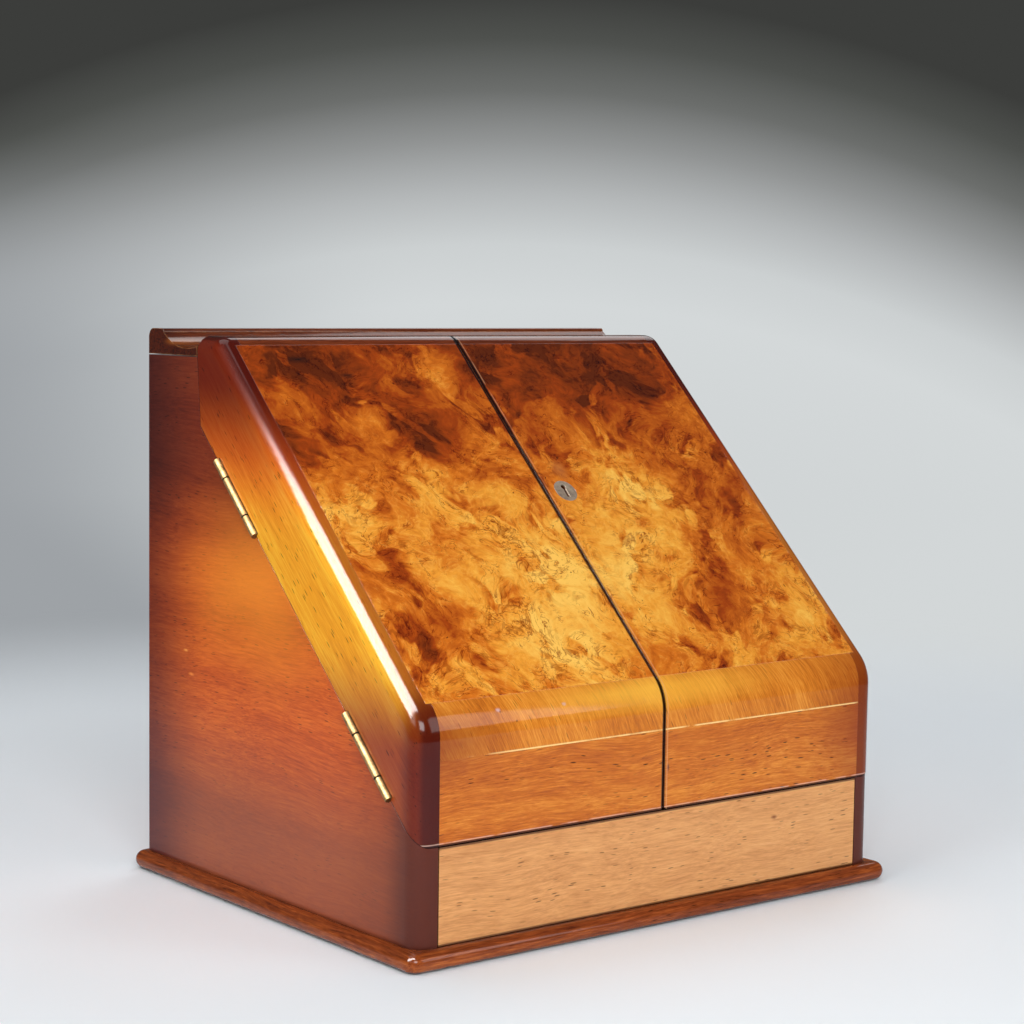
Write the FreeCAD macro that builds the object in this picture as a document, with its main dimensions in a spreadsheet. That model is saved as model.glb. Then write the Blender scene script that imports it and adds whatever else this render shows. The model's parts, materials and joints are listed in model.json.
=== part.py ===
import FreeCAD, Part
import math
import os

import Sketcher

# A sloping-front writing box: carcass on a moulded plinth board, two doors that carry the
# whole slope, a lid with a pen cove, a base drawer and a fitted inside.
# Frame: X to the right, the doors face -Y, Z up, origin on the table under the middle.

PARTS = "parts"

SIZES = (
    ("width", 380.0, "carcass over the side boards"),
    ("depth", 306.0, "carcass, front to back"),
    ("slope_deg", 44.0, "rise of the sloping front"),
    ("sill", 71.5, "height of the line under the doors"),
    ("nose_z", 145.6, "height where slope and door front would meet"),
    ("top_strip", 22.1, "flat top of the doors, front to back"),
    ("lid_reach", 61.8, "lid, front to back"),
    ("lid_drop", 13.4, "middle of the gap under the lid, below the doors' top"),
    ("lean_deg", 5.0, "lean of the joint between lid and doors"),
    ("side_thick", 16.0, "side boards and door sides"),
    ("back_thick", 10.0, "back board"),
    ("board_thick", 14.0, "boards of the doors"),
    ("floor_thick", 8.0, "cabinet floor"),
    ("divider_thick", 6.0, "boards of the letter rack"),
    ("veneer_thick", 1.0, "burr veneer"),
    ("plinth_thick", 12.0, "plinth board"),
    ("plinth_reach", 9.0, "plinth beyond the carcass"),
    ("plinth_corner", 9.0, "plinth corner, seen from above"),
    ("edge_round", 11.0, "rounded outer edge of the side boards"),
    ("nose_round", 28.0, "bend between slope and door front"),
    ("ridge_round", 14.0, "bend between slope and door top"),
    ("nosing_flat", 0.16, "flat between the two rounds of the plinth edge"),
    ("seam", 0.6, "gap between doors or lid and the carcass"),
    ("meet_gap", 1.4, "gap between the two doors"),
    ("door_proud", 0.6, "door front before the drawer front"),
    ("band_drop", 23.7, "cross-grain band below the nose"),
    ("burr_lift", 1.1, "burr above the bend of the nose"),
    ("burr_top_gap", 2.0, "burr below the bend of the ridge"),
    ("burr_inset", 1.0, "burr in from the rounded outer edge"),
    ("corner_left", 1.2, "lower inner corner of the left door"),
    ("corner_right", 3.0, "lower inner corner of the right door"),
    ("hinge_length", 63.5, "door hinge, along the pin"),
    ("hinge_leaf", 14.0, "door hinge leaf, from the pin"),
    ("hinge_low", 68.0, "lower hinge, middle, up the split from the front"),
    ("hinge_high", 61.8, "upper hinge, middle, down the split from its top"),
    ("lid_hinge_length", 38.0, "lid hinge, along the pin"),
    ("lid_hinge_leaf", 9.0, "lid hinge leaf, from the pin"),
    ("lid_hinge_inset", 78.0, "lid hinge, middle, from the outer side face"),
    ("leaf_thick", 1.5, "hinge leaf"),
    ("knuckle_radius", 2.4, "hinge knuckle"),
    ("pin_radius", 1.2, "hinge pin"),
    ("pin_fit", 0.05, "play between pin and moving knuckle"),
    ("hinge_proud", 1.0, "pin outside the wood"),
    ("running_gap", 0.3, "running clearance"),
    ("lip_depth", 19.0, "rear lip of the lid, front to back"),
    ("lip_rise", 3.8, "rear lip above the doors' top"),
    ("lip_height", 2.4, "rear lip above the cove"),
    ("lip_flat", 0.2, "upright left under the rounded edge of the lip"),
    ("cove_drop", 6.6, "front edge of the cove below the doors' top"),
    ("cove_radius", 48.0, "pen cove in the lid"),
    ("lid_round", 6.0, "rear upper edge of the lid"),
    ("rack_setback", 2.8, "lid well board behind the door back"),
    ("card_slot", 16.7, "gap between the rack and the ink stand"),
    ("rack_drop", 6.0, "rack boards below the split"),
    ("scoop_width", 110.0, "scoop in a rack board"),
    ("scoop_depth", 17.0, "scoop in a rack board"),
    ("floor_strip", 18.0, "bare floor in front of the ink stand"),
    ("notch_width", 46.0, "finger notch over the drawer"),
    ("notch_depth", 14.0, "finger notch over the drawer"),
    ("stand_depth", 60.0, "ink stand, front to back"),
    ("stand_height", 24.0, "ink stand"),
    ("well_depth", 15.0, "well for an ink bottle"),
    ("well_play", 1.0, "play round an ink bottle"),
    ("well_inset", 30.0, "middle of a well from the inner side face"),
    ("groove_radius", 11.0, "pen groove"),
    ("groove_end", 16.0, "wood between a pen groove and a well"),
    ("groove_pitch", 26.0, "between the two pen grooves"),
    ("bottle_side", 38.0, "ink bottle, square"),
    ("bottle_body", 27.0, "ink bottle below its neck"),
    ("bottle_round", 5.0, "upright edges of an ink bottle"),
    ("shoulder", 4.0, "shoulder of an ink bottle"),
    ("neck_radius", 12.0, "neck of an ink bottle"),
    ("neck_height", 5.0, "neck of an ink bottle"),
    ("bore_radius", 9.0, "ink space"),
    ("glass_base", 6.0, "glass under the ink space"),
    ("collar_wall", 1.6, "brass collar on the neck"),
    ("cap_height", 7.0, "domed brass cap"),
    ("cap_dome", 4.2, "rounding of the cap"),
    ("cap_arm", 2.4, "arm from the cap to its knuckle"),
    ("cap_knuckle", 2.0, "knuckle of the cap's hinge"),
    ("cap_pin", 0.8, "pin of the cap's hinge"),
    ("cap_lug", 3.0, "one lug of the cap's hinge"),
    ("lug_foot", 1.7, "foot of the lugs above the shoulder"),
    ("lock_down", 135.5, "middle of the lock below the top of the burr"),
    ("key_x", 17.0, "keyhole from the centre"),
    ("lock_width", 34.0, "lock case, across"),
    ("lock_length", 48.0, "lock case, up the slope"),
    ("lock_depth", 9.0, "lock case, into the board"),
    ("bolt_length", 12.0, "lock bolt, across"),
    ("bolt_height", 14.0, "lock bolt, up the slope"),
    ("bolt_thick", 5.0, "lock bolt, through the board"),
    ("bolt_fit", 0.15, "play round the bolt"),
    ("bolt_room", 6.5, "socket for the thrown bolt"),
    ("strike_length", 40.0, "strike plate, up the slope"),
    ("strike_width", 8.0, "strike plate, through the board"),
    ("strike_thick", 1.5, "strike plate"),
    ("plate_width", 16.6, "keyhole plate"),
    ("plate_length", 19.6, "keyhole plate"),
    ("plate_bulge", 0.08, "end radius beyond half the plate's width"),
    ("keyhole_radius", 2.0, "round head of the keyhole"),
    ("keyhole_slot", 2.2, "slot of the keyhole"),
    ("keyhole_length", 10.6, "keyhole, end to end"),
    ("drawer_front", 14.0, "drawer front, thickness"),
    ("drawer_gap", 0.7, "gap at each end of the drawer front"),
    ("drawer_side", 7.0, "drawer sides and back"),
    ("drawer_room", 2.6, "drawer sides below the cabinet floor"),
    ("drawer_bottom", 4.0, "drawer bottom board"),
    ("drawer_lift", 3.0, "drawer bottom above the lower edge of the sides"),
    ("stop_depth", 11.0, "drawer stops, front to back"),
    ("stop_width", 22.0, "drawer stops, across"),
    ("stop_height", 20.0, "drawer stops"),
    ("stop_inset", 54.0, "drawer stops, middle, from the inner side face"),
)

LEFT = -1
RIGHT = 1
HAND_NAME = {LEFT: "left", RIGHT: "right"}
RACK_NAMES = ("rack_rear_board", "rack_middle_board", "rack_front_board")
CAP_LUGS = 3

# Two places nearer than this, in mm, are the same place.
NEAR = 0.01


class Size:
    """A length or ratio: its value now, and the expression that gives it."""

    def __init__(self, value, text):
        self.value = value
        self.text = text

    def __add__(self, other):
        other = as_size(other)
        return Size(self.value + other.value, f"({self.text} + {other.text})")

    def __radd__(self, other):
        return as_size(other) + self

    def __sub__(self, other):
        other = as_size(other)
        return Size(self.value - other.value, f"({self.text} - {other.text})")

    def __rsub__(self, other):
        return as_size(other) - self

    def __mul__(self, other):
        other = as_size(other)
        return Size(self.value * other.value, f"{self.text} * {other.text}")

    def __rmul__(self, other):
        return as_size(other) * self

    def __truediv__(self, other):
        other = as_size(other)
        return Size(self.value / other.value, f"{self.text} / ({other.text})")

    def __neg__(self):
        return as_size(-1) * self


def as_size(number):
    """Return a plain number as a Size, and a Size as it is."""
    if isinstance(number, Size):
        return number
    return Size(float(number), f"({float(number)})")


def sine(angle):
    return Size(math.sin(math.radians(angle.value)), f"sin({angle.text} * 1 deg)")


def cosine(angle):
    return Size(math.cos(math.radians(angle.value)), f"cos({angle.text} * 1 deg)")


def tangent(angle):
    return Size(math.tan(math.radians(angle.value)), f"tan({angle.text} * 1 deg)")


doc = FreeCAD.newDocument("WritingBox")
sheet = doc.addObject("Spreadsheet::Sheet", "Sizes")
sheet_rows = []


def write_row(alias, content, note):
    """Put one named cell and its note in the next row of the sheet."""
    row = len(sheet_rows) + 1
    sheet_rows.append(alias)
    sheet.set(f"A{row}", note)
    sheet.set(f"B{row}", content)
    sheet.setAlias(f"B{row}", alias)


def driven(alias, amount, note):
    """Keep a worked-out size as a cell of its own and return it by name."""
    write_row(alias, "=" + amount.text.replace("Sizes.", ""), note)
    return Size(amount.value, f"Sizes.{alias}")


dims = {}
for alias, number, note in SIZES:
    write_row(alias, str(number), note)
    dims[alias] = Size(number, f"Sizes.{alias}")


def size(alias):
    return dims[alias]


# Places that several pieces share.
half_width = driven("half_width", size("width") / 2, "outer side face")
inner_x = driven("inner_x", half_width - size("side_thick"), "inner side face")
front = driven("front", size("depth") / 2, "carcass front and back faces")
meet_x = driven("meet_x", size("meet_gap") / 2, "inner edge of a door")
rise = driven("rise", tangent(size("slope_deg")), "height gained per length on the slope")
slope_sin = driven("slope_sin", sine(size("slope_deg")), "slope")
slope_cos = driven("slope_cos", cosine(size("slope_deg")), "slope")
lean = driven("lean", tangent(size("lean_deg")), "lean of the lid joint")
seam_rise = driven("seam_rise", size("seam") / 2 / slope_cos, "half the seam, measured upright")
door_y = driven("door_y", -(front + size("door_proud")), "door front")
lid_front = driven("lid_front", front - size("lid_reach"), "lid's front edge at the gap")
top_back = driven("top_back", lid_front + size("lid_drop") * lean - size("seam"), "doors' top")
ridge_y = driven("ridge_y", top_back - size("top_strip"), "ridge")
ridge_z = driven("ridge_z", size("nose_z") + (ridge_y - door_y) * rise, "top of the doors")
lid_seat = driven("lid_seat", ridge_z - size("lid_drop"), "middle of the gap under the lid")
lid_top = driven("lid_top", ridge_z + size("lip_rise"), "top of the lid's rear lip")
slope_length = driven("slope_length", (ridge_y - door_y) / slope_cos, "slope")
bend = driven("bend", size("nose_round") * (1 - slope_sin) / slope_cos, "bend, up the slope")
burr_low = driven("burr_low", bend + size("burr_lift"), "lower end of the burr")
crest = driven("crest", size("board_thick") * (1 - slope_cos) / slope_sin, "bend of the ridge")
burr_high = driven("burr_high", slope_length - crest - size("burr_top_gap"), "burr's upper end")
burr_x = driven("burr_x", half_width - size("edge_round") - size("burr_inset"), "burr's outer edge")
band_z = driven("band_z", size("nose_z") - size("band_drop"), "lower edge of the band")
lock_s = driven("lock_s", burr_high - size("lock_down"), "middle of the lock up the slope")
lid_under = driven("lid_under", lid_seat + size("seam") / 2, "underside of the lid")
side_top = driven("side_top", lid_seat - size("seam") / 2, "top of the side boards")
door_bottom = driven("door_bottom", size("sill") + size("seam") / 2, "lower edge of the doors")
floor_top = driven("floor_top", size("sill") - size("seam"), "cabinet floor")
floor_under = driven("floor_under", floor_top - size("floor_thick"), "under the cabinet floor")
floor_y = driven("floor_y", size("drawer_front") + size("running_gap") - front, "floor's front edge")
bolt_n = driven("bolt_n", -(size("board_thick") - size("lock_depth") / 2), "bolt below the slope")
stand_y = driven("stand_y", floor_y + size("floor_strip"), "front of the ink stand")
stand_rear = driven("stand_rear", stand_y + size("stand_depth"), "back of the ink stand")
well_y = driven("well_y", lid_front + size("rack_setback"), "front of the lid well board")
well_x = driven("well_x", inner_x - size("well_inset"), "middle of an ink well")
well_half = driven("well_half", size("bottle_side") / 2 + size("well_play"), "half an ink well")


def lid_face(height):
    """Front face of the lid, and of the side boards under it, at a height."""
    return lid_front + (height - lid_seat) * lean


def door_back(height):
    """Back face of the doors at a height."""
    return lid_face(height) - size("seam")


def split_height(depth_y, offset):
    """Height of the split between door and side board, offset up or down."""
    return size("sill") + (depth_y + front) * rise + offset


def split_corner(offset, setback):
    """Height where the split meets the leaning joint behind the doors."""
    base = size("sill") + offset
    run = front + lid_front - setback - lid_seat * lean
    return (base + rise * run) / (1 - rise * lean)


side_corner_z = driven("side_corner_z", split_corner(-seam_rise, 0), "corner of the side board")
door_corner_z = driven("door_corner_z", split_corner(seam_rise, size("seam")), "corner of a door")
split_top = driven("split_top", (side_corner_z - size("sill")) / slope_sin, "length of the split")
upper_hinge = driven("upper_hinge", split_top - size("hinge_high"), "upper hinge up the split")
rack_step = driven(
    "rack_step",
    (well_y - stand_rear - size("card_slot")) / len(RACK_NAMES),
    "from one rack board to the next",
)


def value(number):
    return as_size(number).value


def bind(target, path, number):
    """Set a property, and tie it to the sheet where it is a Size."""
    if isinstance(number, Size):
        target.setExpression(path, number.text)


def new_body(name, base=(0, 0, 0), tilt=None, axis=FreeCAD.Vector(1, 0, 0)):
    """Start a body; tilt turns it about an axis through its base point."""
    body = doc.addObject("PartDesign::Body", name)
    body.Label = name
    place = FreeCAD.Vector(*[value(number) for number in base])
    turn = FreeCAD.Rotation(axis, value(tilt)) if tilt is not None else FreeCAD.Rotation()
    body.Placement = FreeCAD.Placement(place, turn)
    for letter, number in zip("xyz", base):
        bind(body, f"Placement.Base.{letter}", number)
    if isinstance(tilt, Size):
        body.setExpression("Placement.Rotation.Angle", f"{tilt.text} * 1 deg")
    return body


def new_sketch(body, plane, base=(0, 0, 0), tilt=None):
    """Start a sketch on one of the body's own planes, moved and tilted about its X."""
    sketch = body.newObject("Sketcher::SketchObject", f"{body.Name}_outline")
    support = [item for item in body.Origin.OriginFeatures if item.Role == plane][0]
    sketch.AttachmentSupport = [(support, "")]
    sketch.MapMode = "FlatFace"
    place = FreeCAD.Vector(*[value(number) for number in base])
    angle = value(tilt) if tilt is not None else 0.0
    turn = FreeCAD.Rotation(FreeCAD.Vector(1, 0, 0), angle)
    sketch.AttachmentOffset = FreeCAD.Placement(place, turn)
    for letter, number in zip("xyz", base):
        bind(sketch, f"AttachmentOffset.Base.{letter}", number)
    if isinstance(tilt, Size):
        sketch.setExpression("AttachmentOffset.Rotation.Angle", f"{tilt.text} * 1 deg")
    return sketch


def hold(sketch, kind, items, number):
    """Add one dimension to a sketch and tie it to the sheet."""
    index = sketch.addConstraint(Sketcher.Constraint(kind, *items, value(number)))
    bind(sketch, f"Constraints[{index}]", number)


def arc_between(start, end, radius):
    """Arc from start to end; a positive radius has its centre on the left of the way."""
    chord = end - start
    half = chord.Length / 2
    left = FreeCAD.Vector(-chord.y, chord.x, 0).normalize()
    reach = math.sqrt(max(radius * radius - half * half, 0.0))
    centre = (start + end) / 2 + left * math.copysign(reach, radius)
    circle = Part.Circle(centre, FreeCAD.Vector(0, 0, 1), abs(radius))
    first, last = (start, end) if radius > 0 else (end, start)
    return Part.ArcOfCircle(circle, circle.parameter(first), circle.parameter(last))


def draw(sketch, points):
    """Draw a closed outline; a third value makes the edge that follows a point an arc."""
    places = [FreeCAD.Vector(value(point[0]), value(point[1]), 0) for point in points]
    ends = []
    for index, point in enumerate(points):
        start = places[index]
        end = places[(index + 1) % len(points)]
        if len(point) == 2:
            edge = sketch.addGeometry(Part.LineSegment(start, end))
            ends.append((edge, 1, 2))
            continue
        radius = value(point[2])
        edge = sketch.addGeometry(arc_between(start, end, radius))
        ends.append((edge, 1, 2) if radius > 0 else (edge, 2, 1))
    for index, point in enumerate(points):
        edge, first, last = ends[index]
        following, next_first, _ = ends[(index + 1) % len(points)]
        sketch.addConstraint(Sketcher.Constraint("Coincident", edge, last, following, next_first))
        hold(sketch, "DistanceX", (-1, 1, edge, first), point[0])
        hold(sketch, "DistanceY", (-1, 1, edge, first), point[1])
        if len(point) == 3:
            hold(sketch, "Radius", (edge,), point[2] if value(point[2]) > 0 else -point[2])
    return sketch


def draw_box(sketch, low, high):
    """Draw a rectangle from its low corner to its high corner."""
    return draw(sketch, [low, (high[0], low[1]), high, (low[0], high[1])])


def draw_circle(sketch, centre, radius):
    """Draw a circle about a centre."""
    middle = FreeCAD.Vector(value(centre[0]), value(centre[1]), 0)
    circle = sketch.addGeometry(Part.Circle(middle, FreeCAD.Vector(0, 0, 1), value(radius)))
    hold(sketch, "DistanceX", (-1, 1, circle, 3), centre[0])
    hold(sketch, "DistanceY", (-1, 1, circle, 3), centre[1])
    hold(sketch, "Radius", (circle,), radius)
    return sketch


def pad(body, sketch, length):
    """Add material along the sketch's normal."""
    feature = body.newObject("PartDesign::Pad", f"{body.Name}_pad")
    feature.Profile = (sketch, [""])
    feature.Length = value(length)
    bind(feature, "Length", length)
    doc.recompute()


def pocket(body, sketch, length, forward=False):
    """Cut against the sketch's normal, or along it, and make sure something was cut."""
    before = body.Shape.Volume
    feature = body.newObject("PartDesign::Pocket", f"{body.Name}_cut")
    feature.Profile = (sketch, [""])
    feature.Reversed = forward
    feature.Length = value(length)
    bind(feature, "Length", length)
    doc.recompute()
    if not body.Shape.Volume < before:
        raise RuntimeError(f"{body.Label}: a cut removed nothing")


def round_edges(body, radius, chosen, kind="Fillet"):
    """Round or chamfer the edges of the body for which chosen(edge) is true."""
    base = body.Tip
    names = []
    for index, edge in enumerate(base.Shape.Edges):
        if chosen(edge):
            names.append(f"Edge{index + 1}")
    if not names:
        raise RuntimeError(f"{body.Label}: no edge to round")
    feature = body.newObject(f"PartDesign::{kind}", f"{body.Name}_{kind.lower()}")
    feature.Base = (base, names)
    name = "Radius" if kind == "Fillet" else "Size"
    setattr(feature, name, value(radius))
    bind(feature, name, radius)
    doc.recompute()


def edge_lies(edge, **planes):
    """True where every point of the edge lies on the named planes, as x=value(...)."""
    box = edge.BoundBox
    for axis, place in planes.items():
        low = getattr(box, f"{axis.upper()}Min")
        high = getattr(box, f"{axis.upper()}Max")
        if abs(low - value(place)) > NEAR or abs(high - value(place)) > NEAR:
            return False
    return True


def edge_runs(edge, axis):
    """True for a straight edge along an axis."""
    if edge.Curve.TypeId != "Part::GeomLine":
        return False
    return abs(abs(getattr(edge.Curve.Direction, axis)) - 1) < NEAR


def span(hand, near, far):
    """Lowest X and length of a stretch between two distances from the centre."""
    start = near if hand == RIGHT else -as_size(far)
    return start, far - near


def box_body(name, low, high):
    """A plain board between two corners."""
    body = new_body(name)
    sketch = draw_box(new_sketch(body, "XY_Plane", (0, 0, low[2])), low[:2], high[:2])
    pad(body, sketch, high[2] - low[2])
    return body


def sided(hand, low, high):
    """Order a pair of distances from the centre as low X and high X."""
    if hand == RIGHT:
        return low, high
    return -as_size(high), -as_size(low)


def split_point(along):
    """Height and depth of a point on the split, measured up it from the front."""
    return along * slope_cos - front, size("sill") + along * slope_sin


def hinge_seats(body, hand, upward):
    """Cut the leaf and knuckle seats of both hinges into a side board or a door side."""
    outer = half_width + size("hinge_proud")
    leaf_x = sided(hand, outer - size("hinge_leaf"), half_width)
    barrel = size("knuckle_radius") + size("running_gap")
    barrel_x = sided(hand, outer - barrel, half_width)
    for along in (size("hinge_low"), upper_hinge):
        depth_y, height = split_point(along)
        half = size("hinge_length") / 2
        seats = (
            (leaf_x, half, size("seam") / 2 + size("leaf_thick")),
            (barrel_x, half + size("running_gap"), barrel),
        )
        for across, reach, deep in seats:
            sketch = new_sketch(body, "XY_Plane", (0, depth_y, height), size("slope_deg"))
            draw_box(sketch, (across[0], -reach), (across[1], reach))
            pocket(body, sketch, deep, forward=upward)


def make_plinth():
    """The moulded board that the carcass stands on, round-nosed on all four edges."""
    body = new_body("plinth")
    reach_x = half_width + size("plinth_reach")
    reach_y = front + size("plinth_reach")
    sketch = draw_box(new_sketch(body, "XY_Plane"), (-reach_x, -reach_y), (reach_x, reach_y))
    pad(body, sketch, size("plinth_thick"))
    round_edges(body, size("plinth_corner"), lambda edge: edge_runs(edge, "z"))
    nosing = (size("plinth_thick") - size("nosing_flat")) / 2
    round_edges(body, nosing, lambda edge: not edge_runs(edge, "z"))


def make_side(hand):
    """A carcass side board, cut back along the split under the door."""
    body = new_body(f"{HAND_NAME[hand]}_side")
    start, thick = span(hand, inner_x, half_width)
    corner_y = lid_face(side_corner_z)
    points = [
        (-front, size("plinth_thick")),
        (front, size("plinth_thick")),
        (front, side_top),
        (lid_face(side_top), side_top),
        (corner_y, side_corner_z),
        (-front, size("sill") - seam_rise),
    ]
    pad(body, draw(new_sketch(body, "YZ_Plane", (0, 0, start)), points), thick)
    round_edges(
        body,
        size("edge_round"),
        lambda edge: edge_lies(edge, x=half_width * hand, y=-front),
    )
    hinge_seats(body, hand, upward=False)


def lid_hinge_seats(body, upward):
    """Cut the seats of the two lid hinges into the back board or the lid."""
    pin_y = front + size("hinge_proud")
    barrel = size("knuckle_radius") + size("running_gap")
    for hand in (LEFT, RIGHT):
        centre = (half_width - size("lid_hinge_inset")) * hand
        half = size("lid_hinge_length") / 2
        seats = (
            (size("lid_hinge_leaf"), half, size("seam") / 2 + size("leaf_thick")),
            (barrel, half + size("running_gap"), barrel),
        )
        for reach, half_long, deep in seats:
            sketch = new_sketch(body, "XY_Plane", (0, 0, lid_seat))
            draw_box(sketch, (centre - half_long, pin_y - reach), (centre + half_long, front))
            pocket(body, sketch, deep, forward=upward)


def make_back():
    """The back board between the sides, with the lid hinges let into its top."""
    low = (-inner_x, front - size("back_thick"), size("plinth_thick"))
    body = box_body("back_board", low, (inner_x, front, side_top))
    lid_hinge_seats(body, upward=False)


def make_floor():
    """The cabinet floor over the drawer, with the finger notch behind the drawer front."""
    body = new_body("cabinet_floor")
    notch_x = size("notch_width") / 2
    notch_y = floor_y + size("notch_depth")
    rear_y = front - size("back_thick")
    points = [
        (-inner_x, floor_y),
        (-notch_x, floor_y),
        (-notch_x, notch_y),
        (notch_x, notch_y),
        (notch_x, floor_y),
        (inner_x, floor_y),
        (inner_x, rear_y),
        (-inner_x, rear_y),
    ]
    sketch = draw(new_sketch(body, "XY_Plane", (0, 0, floor_under)), points)
    pad(body, sketch, size("floor_thick"))


def rack_y(step):
    """Front face of a rack board, counted forwards from the lid well board."""
    return well_y - rack_step * step


def rack_top(step):
    """Top of a rack board, just under the split in the side boards."""
    return split_height(rack_y(step), -size("rack_drop"))


def make_rack():
    """The lid well board, the stepped letter rack and the card partition."""
    well_low = (-inner_x, well_y, floor_top)
    well_high = (inner_x, well_y + size("divider_thick"), side_top)
    box_body("lid_well_board", well_low, well_high)
    half_scoop = size("scoop_width") / 2
    deep = size("scoop_depth")
    scoop_radius = (half_scoop * half_scoop + deep * deep) / (deep * 2)
    for step, name in enumerate(RACK_NAMES, start=1):
        body = new_body(name)
        top = rack_top(step)
        points = [
            (-inner_x, floor_top),
            (inner_x, floor_top),
            (inner_x, top),
            (half_scoop, top, -scoop_radius),
            (-half_scoop, top),
            (-inner_x, top),
        ]
        back_y = rack_y(step) + size("divider_thick")
        sketch = draw(new_sketch(body, "XZ_Plane", (0, 0, -back_y)), points)
        pad(body, sketch, size("divider_thick"))
    card = new_body("card_partition")
    low_y = rack_y(3) + size("divider_thick")
    high_y = rack_y(2)
    drop = size("rack_drop") * 2 + size("scoop_depth")
    points = [
        (low_y, floor_top),
        (high_y, floor_top),
        (high_y, split_height(high_y, -drop)),
        (low_y, split_height(low_y, -drop)),
    ]
    half_card = size("divider_thick") / 2
    pad(card, draw(new_sketch(card, "YZ_Plane", (0, 0, -half_card)), points), half_card * 2)


def make_ink_stand():
    """The ink stand: two square wells and two half-round pen grooves."""
    top = floor_top + size("stand_height")
    body = box_body("ink_stand", (-inner_x, stand_y, floor_top), (inner_x, stand_rear, top))
    middle_y = stand_y + size("stand_depth") / 2
    for hand in (LEFT, RIGHT):
        centre = well_x * hand
        sketch = new_sketch(body, "XY_Plane", (0, 0, top))
        low = (centre - well_half, middle_y - well_half)
        draw_box(sketch, low, (centre + well_half, middle_y + well_half))
        pocket(body, sketch, size("well_depth"))
    half_groove = well_x - well_half - size("groove_end")
    radius = size("groove_radius")
    for hand in (LEFT, RIGHT):
        centre = middle_y + size("groove_pitch") / 2 * hand
        sketch = new_sketch(body, "YZ_Plane", (0, 0, half_groove))
        draw_circle(sketch, (centre, top), radius)
        pocket(body, sketch, half_groove * 2)


def bottle_base():
    """Height of the foot of an ink bottle, just above the bottom of its well."""
    return floor_top + size("stand_height") - size("well_depth") + size("running_gap")


def make_ink_bottle(hand):
    """A square glass bottle with a brass collar and a hinged brass cap."""
    name = HAND_NAME[hand]
    place = (well_x * hand, stand_y + size("stand_depth") / 2, bottle_base())
    half = size("bottle_side") / 2
    bottle = new_body(f"{name}_ink_bottle", place)
    sketch = draw_box(new_sketch(bottle, "XY_Plane"), (-half, -half), (half, half))
    pad(bottle, sketch, size("bottle_body"))
    round_edges(bottle, size("bottle_round"), lambda edge: edge_runs(edge, "z"))
    round_edges(
        bottle,
        size("shoulder"),
        lambda edge: edge_lies(edge, z=size("bottle_body")),
        kind="Chamfer",
    )
    sketch = new_sketch(bottle, "XY_Plane", (0, 0, size("bottle_body")))
    pad(bottle, draw_circle(sketch, (0, 0), size("neck_radius")), size("neck_height"))
    neck_top = size("bottle_body") + size("neck_height")
    sketch = new_sketch(bottle, "XY_Plane", (0, 0, neck_top))
    draw_circle(sketch, (0, 0), size("bore_radius"))
    pocket(bottle, sketch, neck_top - size("glass_base"))

    wall = size("neck_radius") + size("collar_wall")
    pin_y = wall + size("cap_knuckle")
    pin_z = neck_top + size("running_gap") / 2
    lug_x = size("cap_lug") * CAP_LUGS / 2
    collar = new_body(f"{name}_ink_collar", place)
    sketch = new_sketch(collar, "XY_Plane", (0, 0, size("bottle_body")))
    draw_circle(sketch, (0, 0), wall)
    pad(collar, sketch, size("neck_height"))
    for start in (-lug_x, lug_x - size("cap_lug")):
        sketch = new_sketch(collar, "YZ_Plane", (0, 0, start))
        radius = size("cap_knuckle")
        low_z = size("bottle_body") + size("lug_foot")
        points = [
            (size("neck_radius"), low_z),
            (pin_y + radius, pin_z - radius / 2),
            (pin_y + radius, pin_z),
            (pin_y, pin_z + radius),
            (pin_y - radius, pin_z),
            (size("neck_radius"), neck_top),
        ]
        pad(collar, draw(sketch, points), size("cap_lug"))
    sketch = new_sketch(collar, "YZ_Plane", (0, 0, -lug_x))
    pad(collar, draw_circle(sketch, (pin_y, pin_z), size("cap_pin")), lug_x * 2)
    sketch = new_sketch(collar, "XY_Plane", (0, 0, neck_top))
    draw_circle(sketch, (0, 0), size("neck_radius"))
    pocket(collar, sketch, size("neck_height"))

    cap = new_body(f"{name}_ink_cap", place)
    under = neck_top + size("running_gap")
    sketch = new_sketch(cap, "XY_Plane", (0, 0, under))
    pad(cap, draw_circle(sketch, (0, 0), wall), size("cap_height"))
    cap_top = under + size("cap_height")
    round_edges(cap, size("cap_dome"), lambda edge: edge_lies(edge, z=cap_top))
    half_knuckle = size("cap_lug") / 2 - size("running_gap")
    sketch = new_sketch(cap, "YZ_Plane", (0, 0, -half_knuckle))
    radius = size("cap_knuckle") - size("running_gap")
    root = size("neck_radius") - size("collar_wall")
    points = [
        (root, under),
        (pin_y - radius, pin_z),
        (pin_y, pin_z - radius),
        (pin_y + radius, pin_z),
        (pin_y, pin_z + radius),
        (root, under + size("cap_arm")),
    ]
    pad(cap, draw(sketch, points), half_knuckle * 2)
    sketch = new_sketch(cap, "YZ_Plane", (0, 0, half_knuckle))
    draw_circle(sketch, (pin_y, pin_z), size("cap_pin") + size("pin_fit"))
    pocket(cap, sketch, half_knuckle * 2)


def barrel_stretches(half, moving):
    """The knuckles of a leaf along the pin: the outer quarters or the middle half."""
    quarter = half / 2
    play = size("running_gap") / 2
    if moving:
        return [(-quarter + play, quarter - play)]
    return [(-half, -quarter), (quarter, half)]


def free_stretches(half, moving):
    """Where a leaf is cut back to clear the other leaf's knuckles."""
    quarter = half / 2
    play = size("running_gap") / 2
    if moving:
        return [(-half, -quarter + play), (quarter - play, half)]
    return [(-quarter, quarter)]


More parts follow.
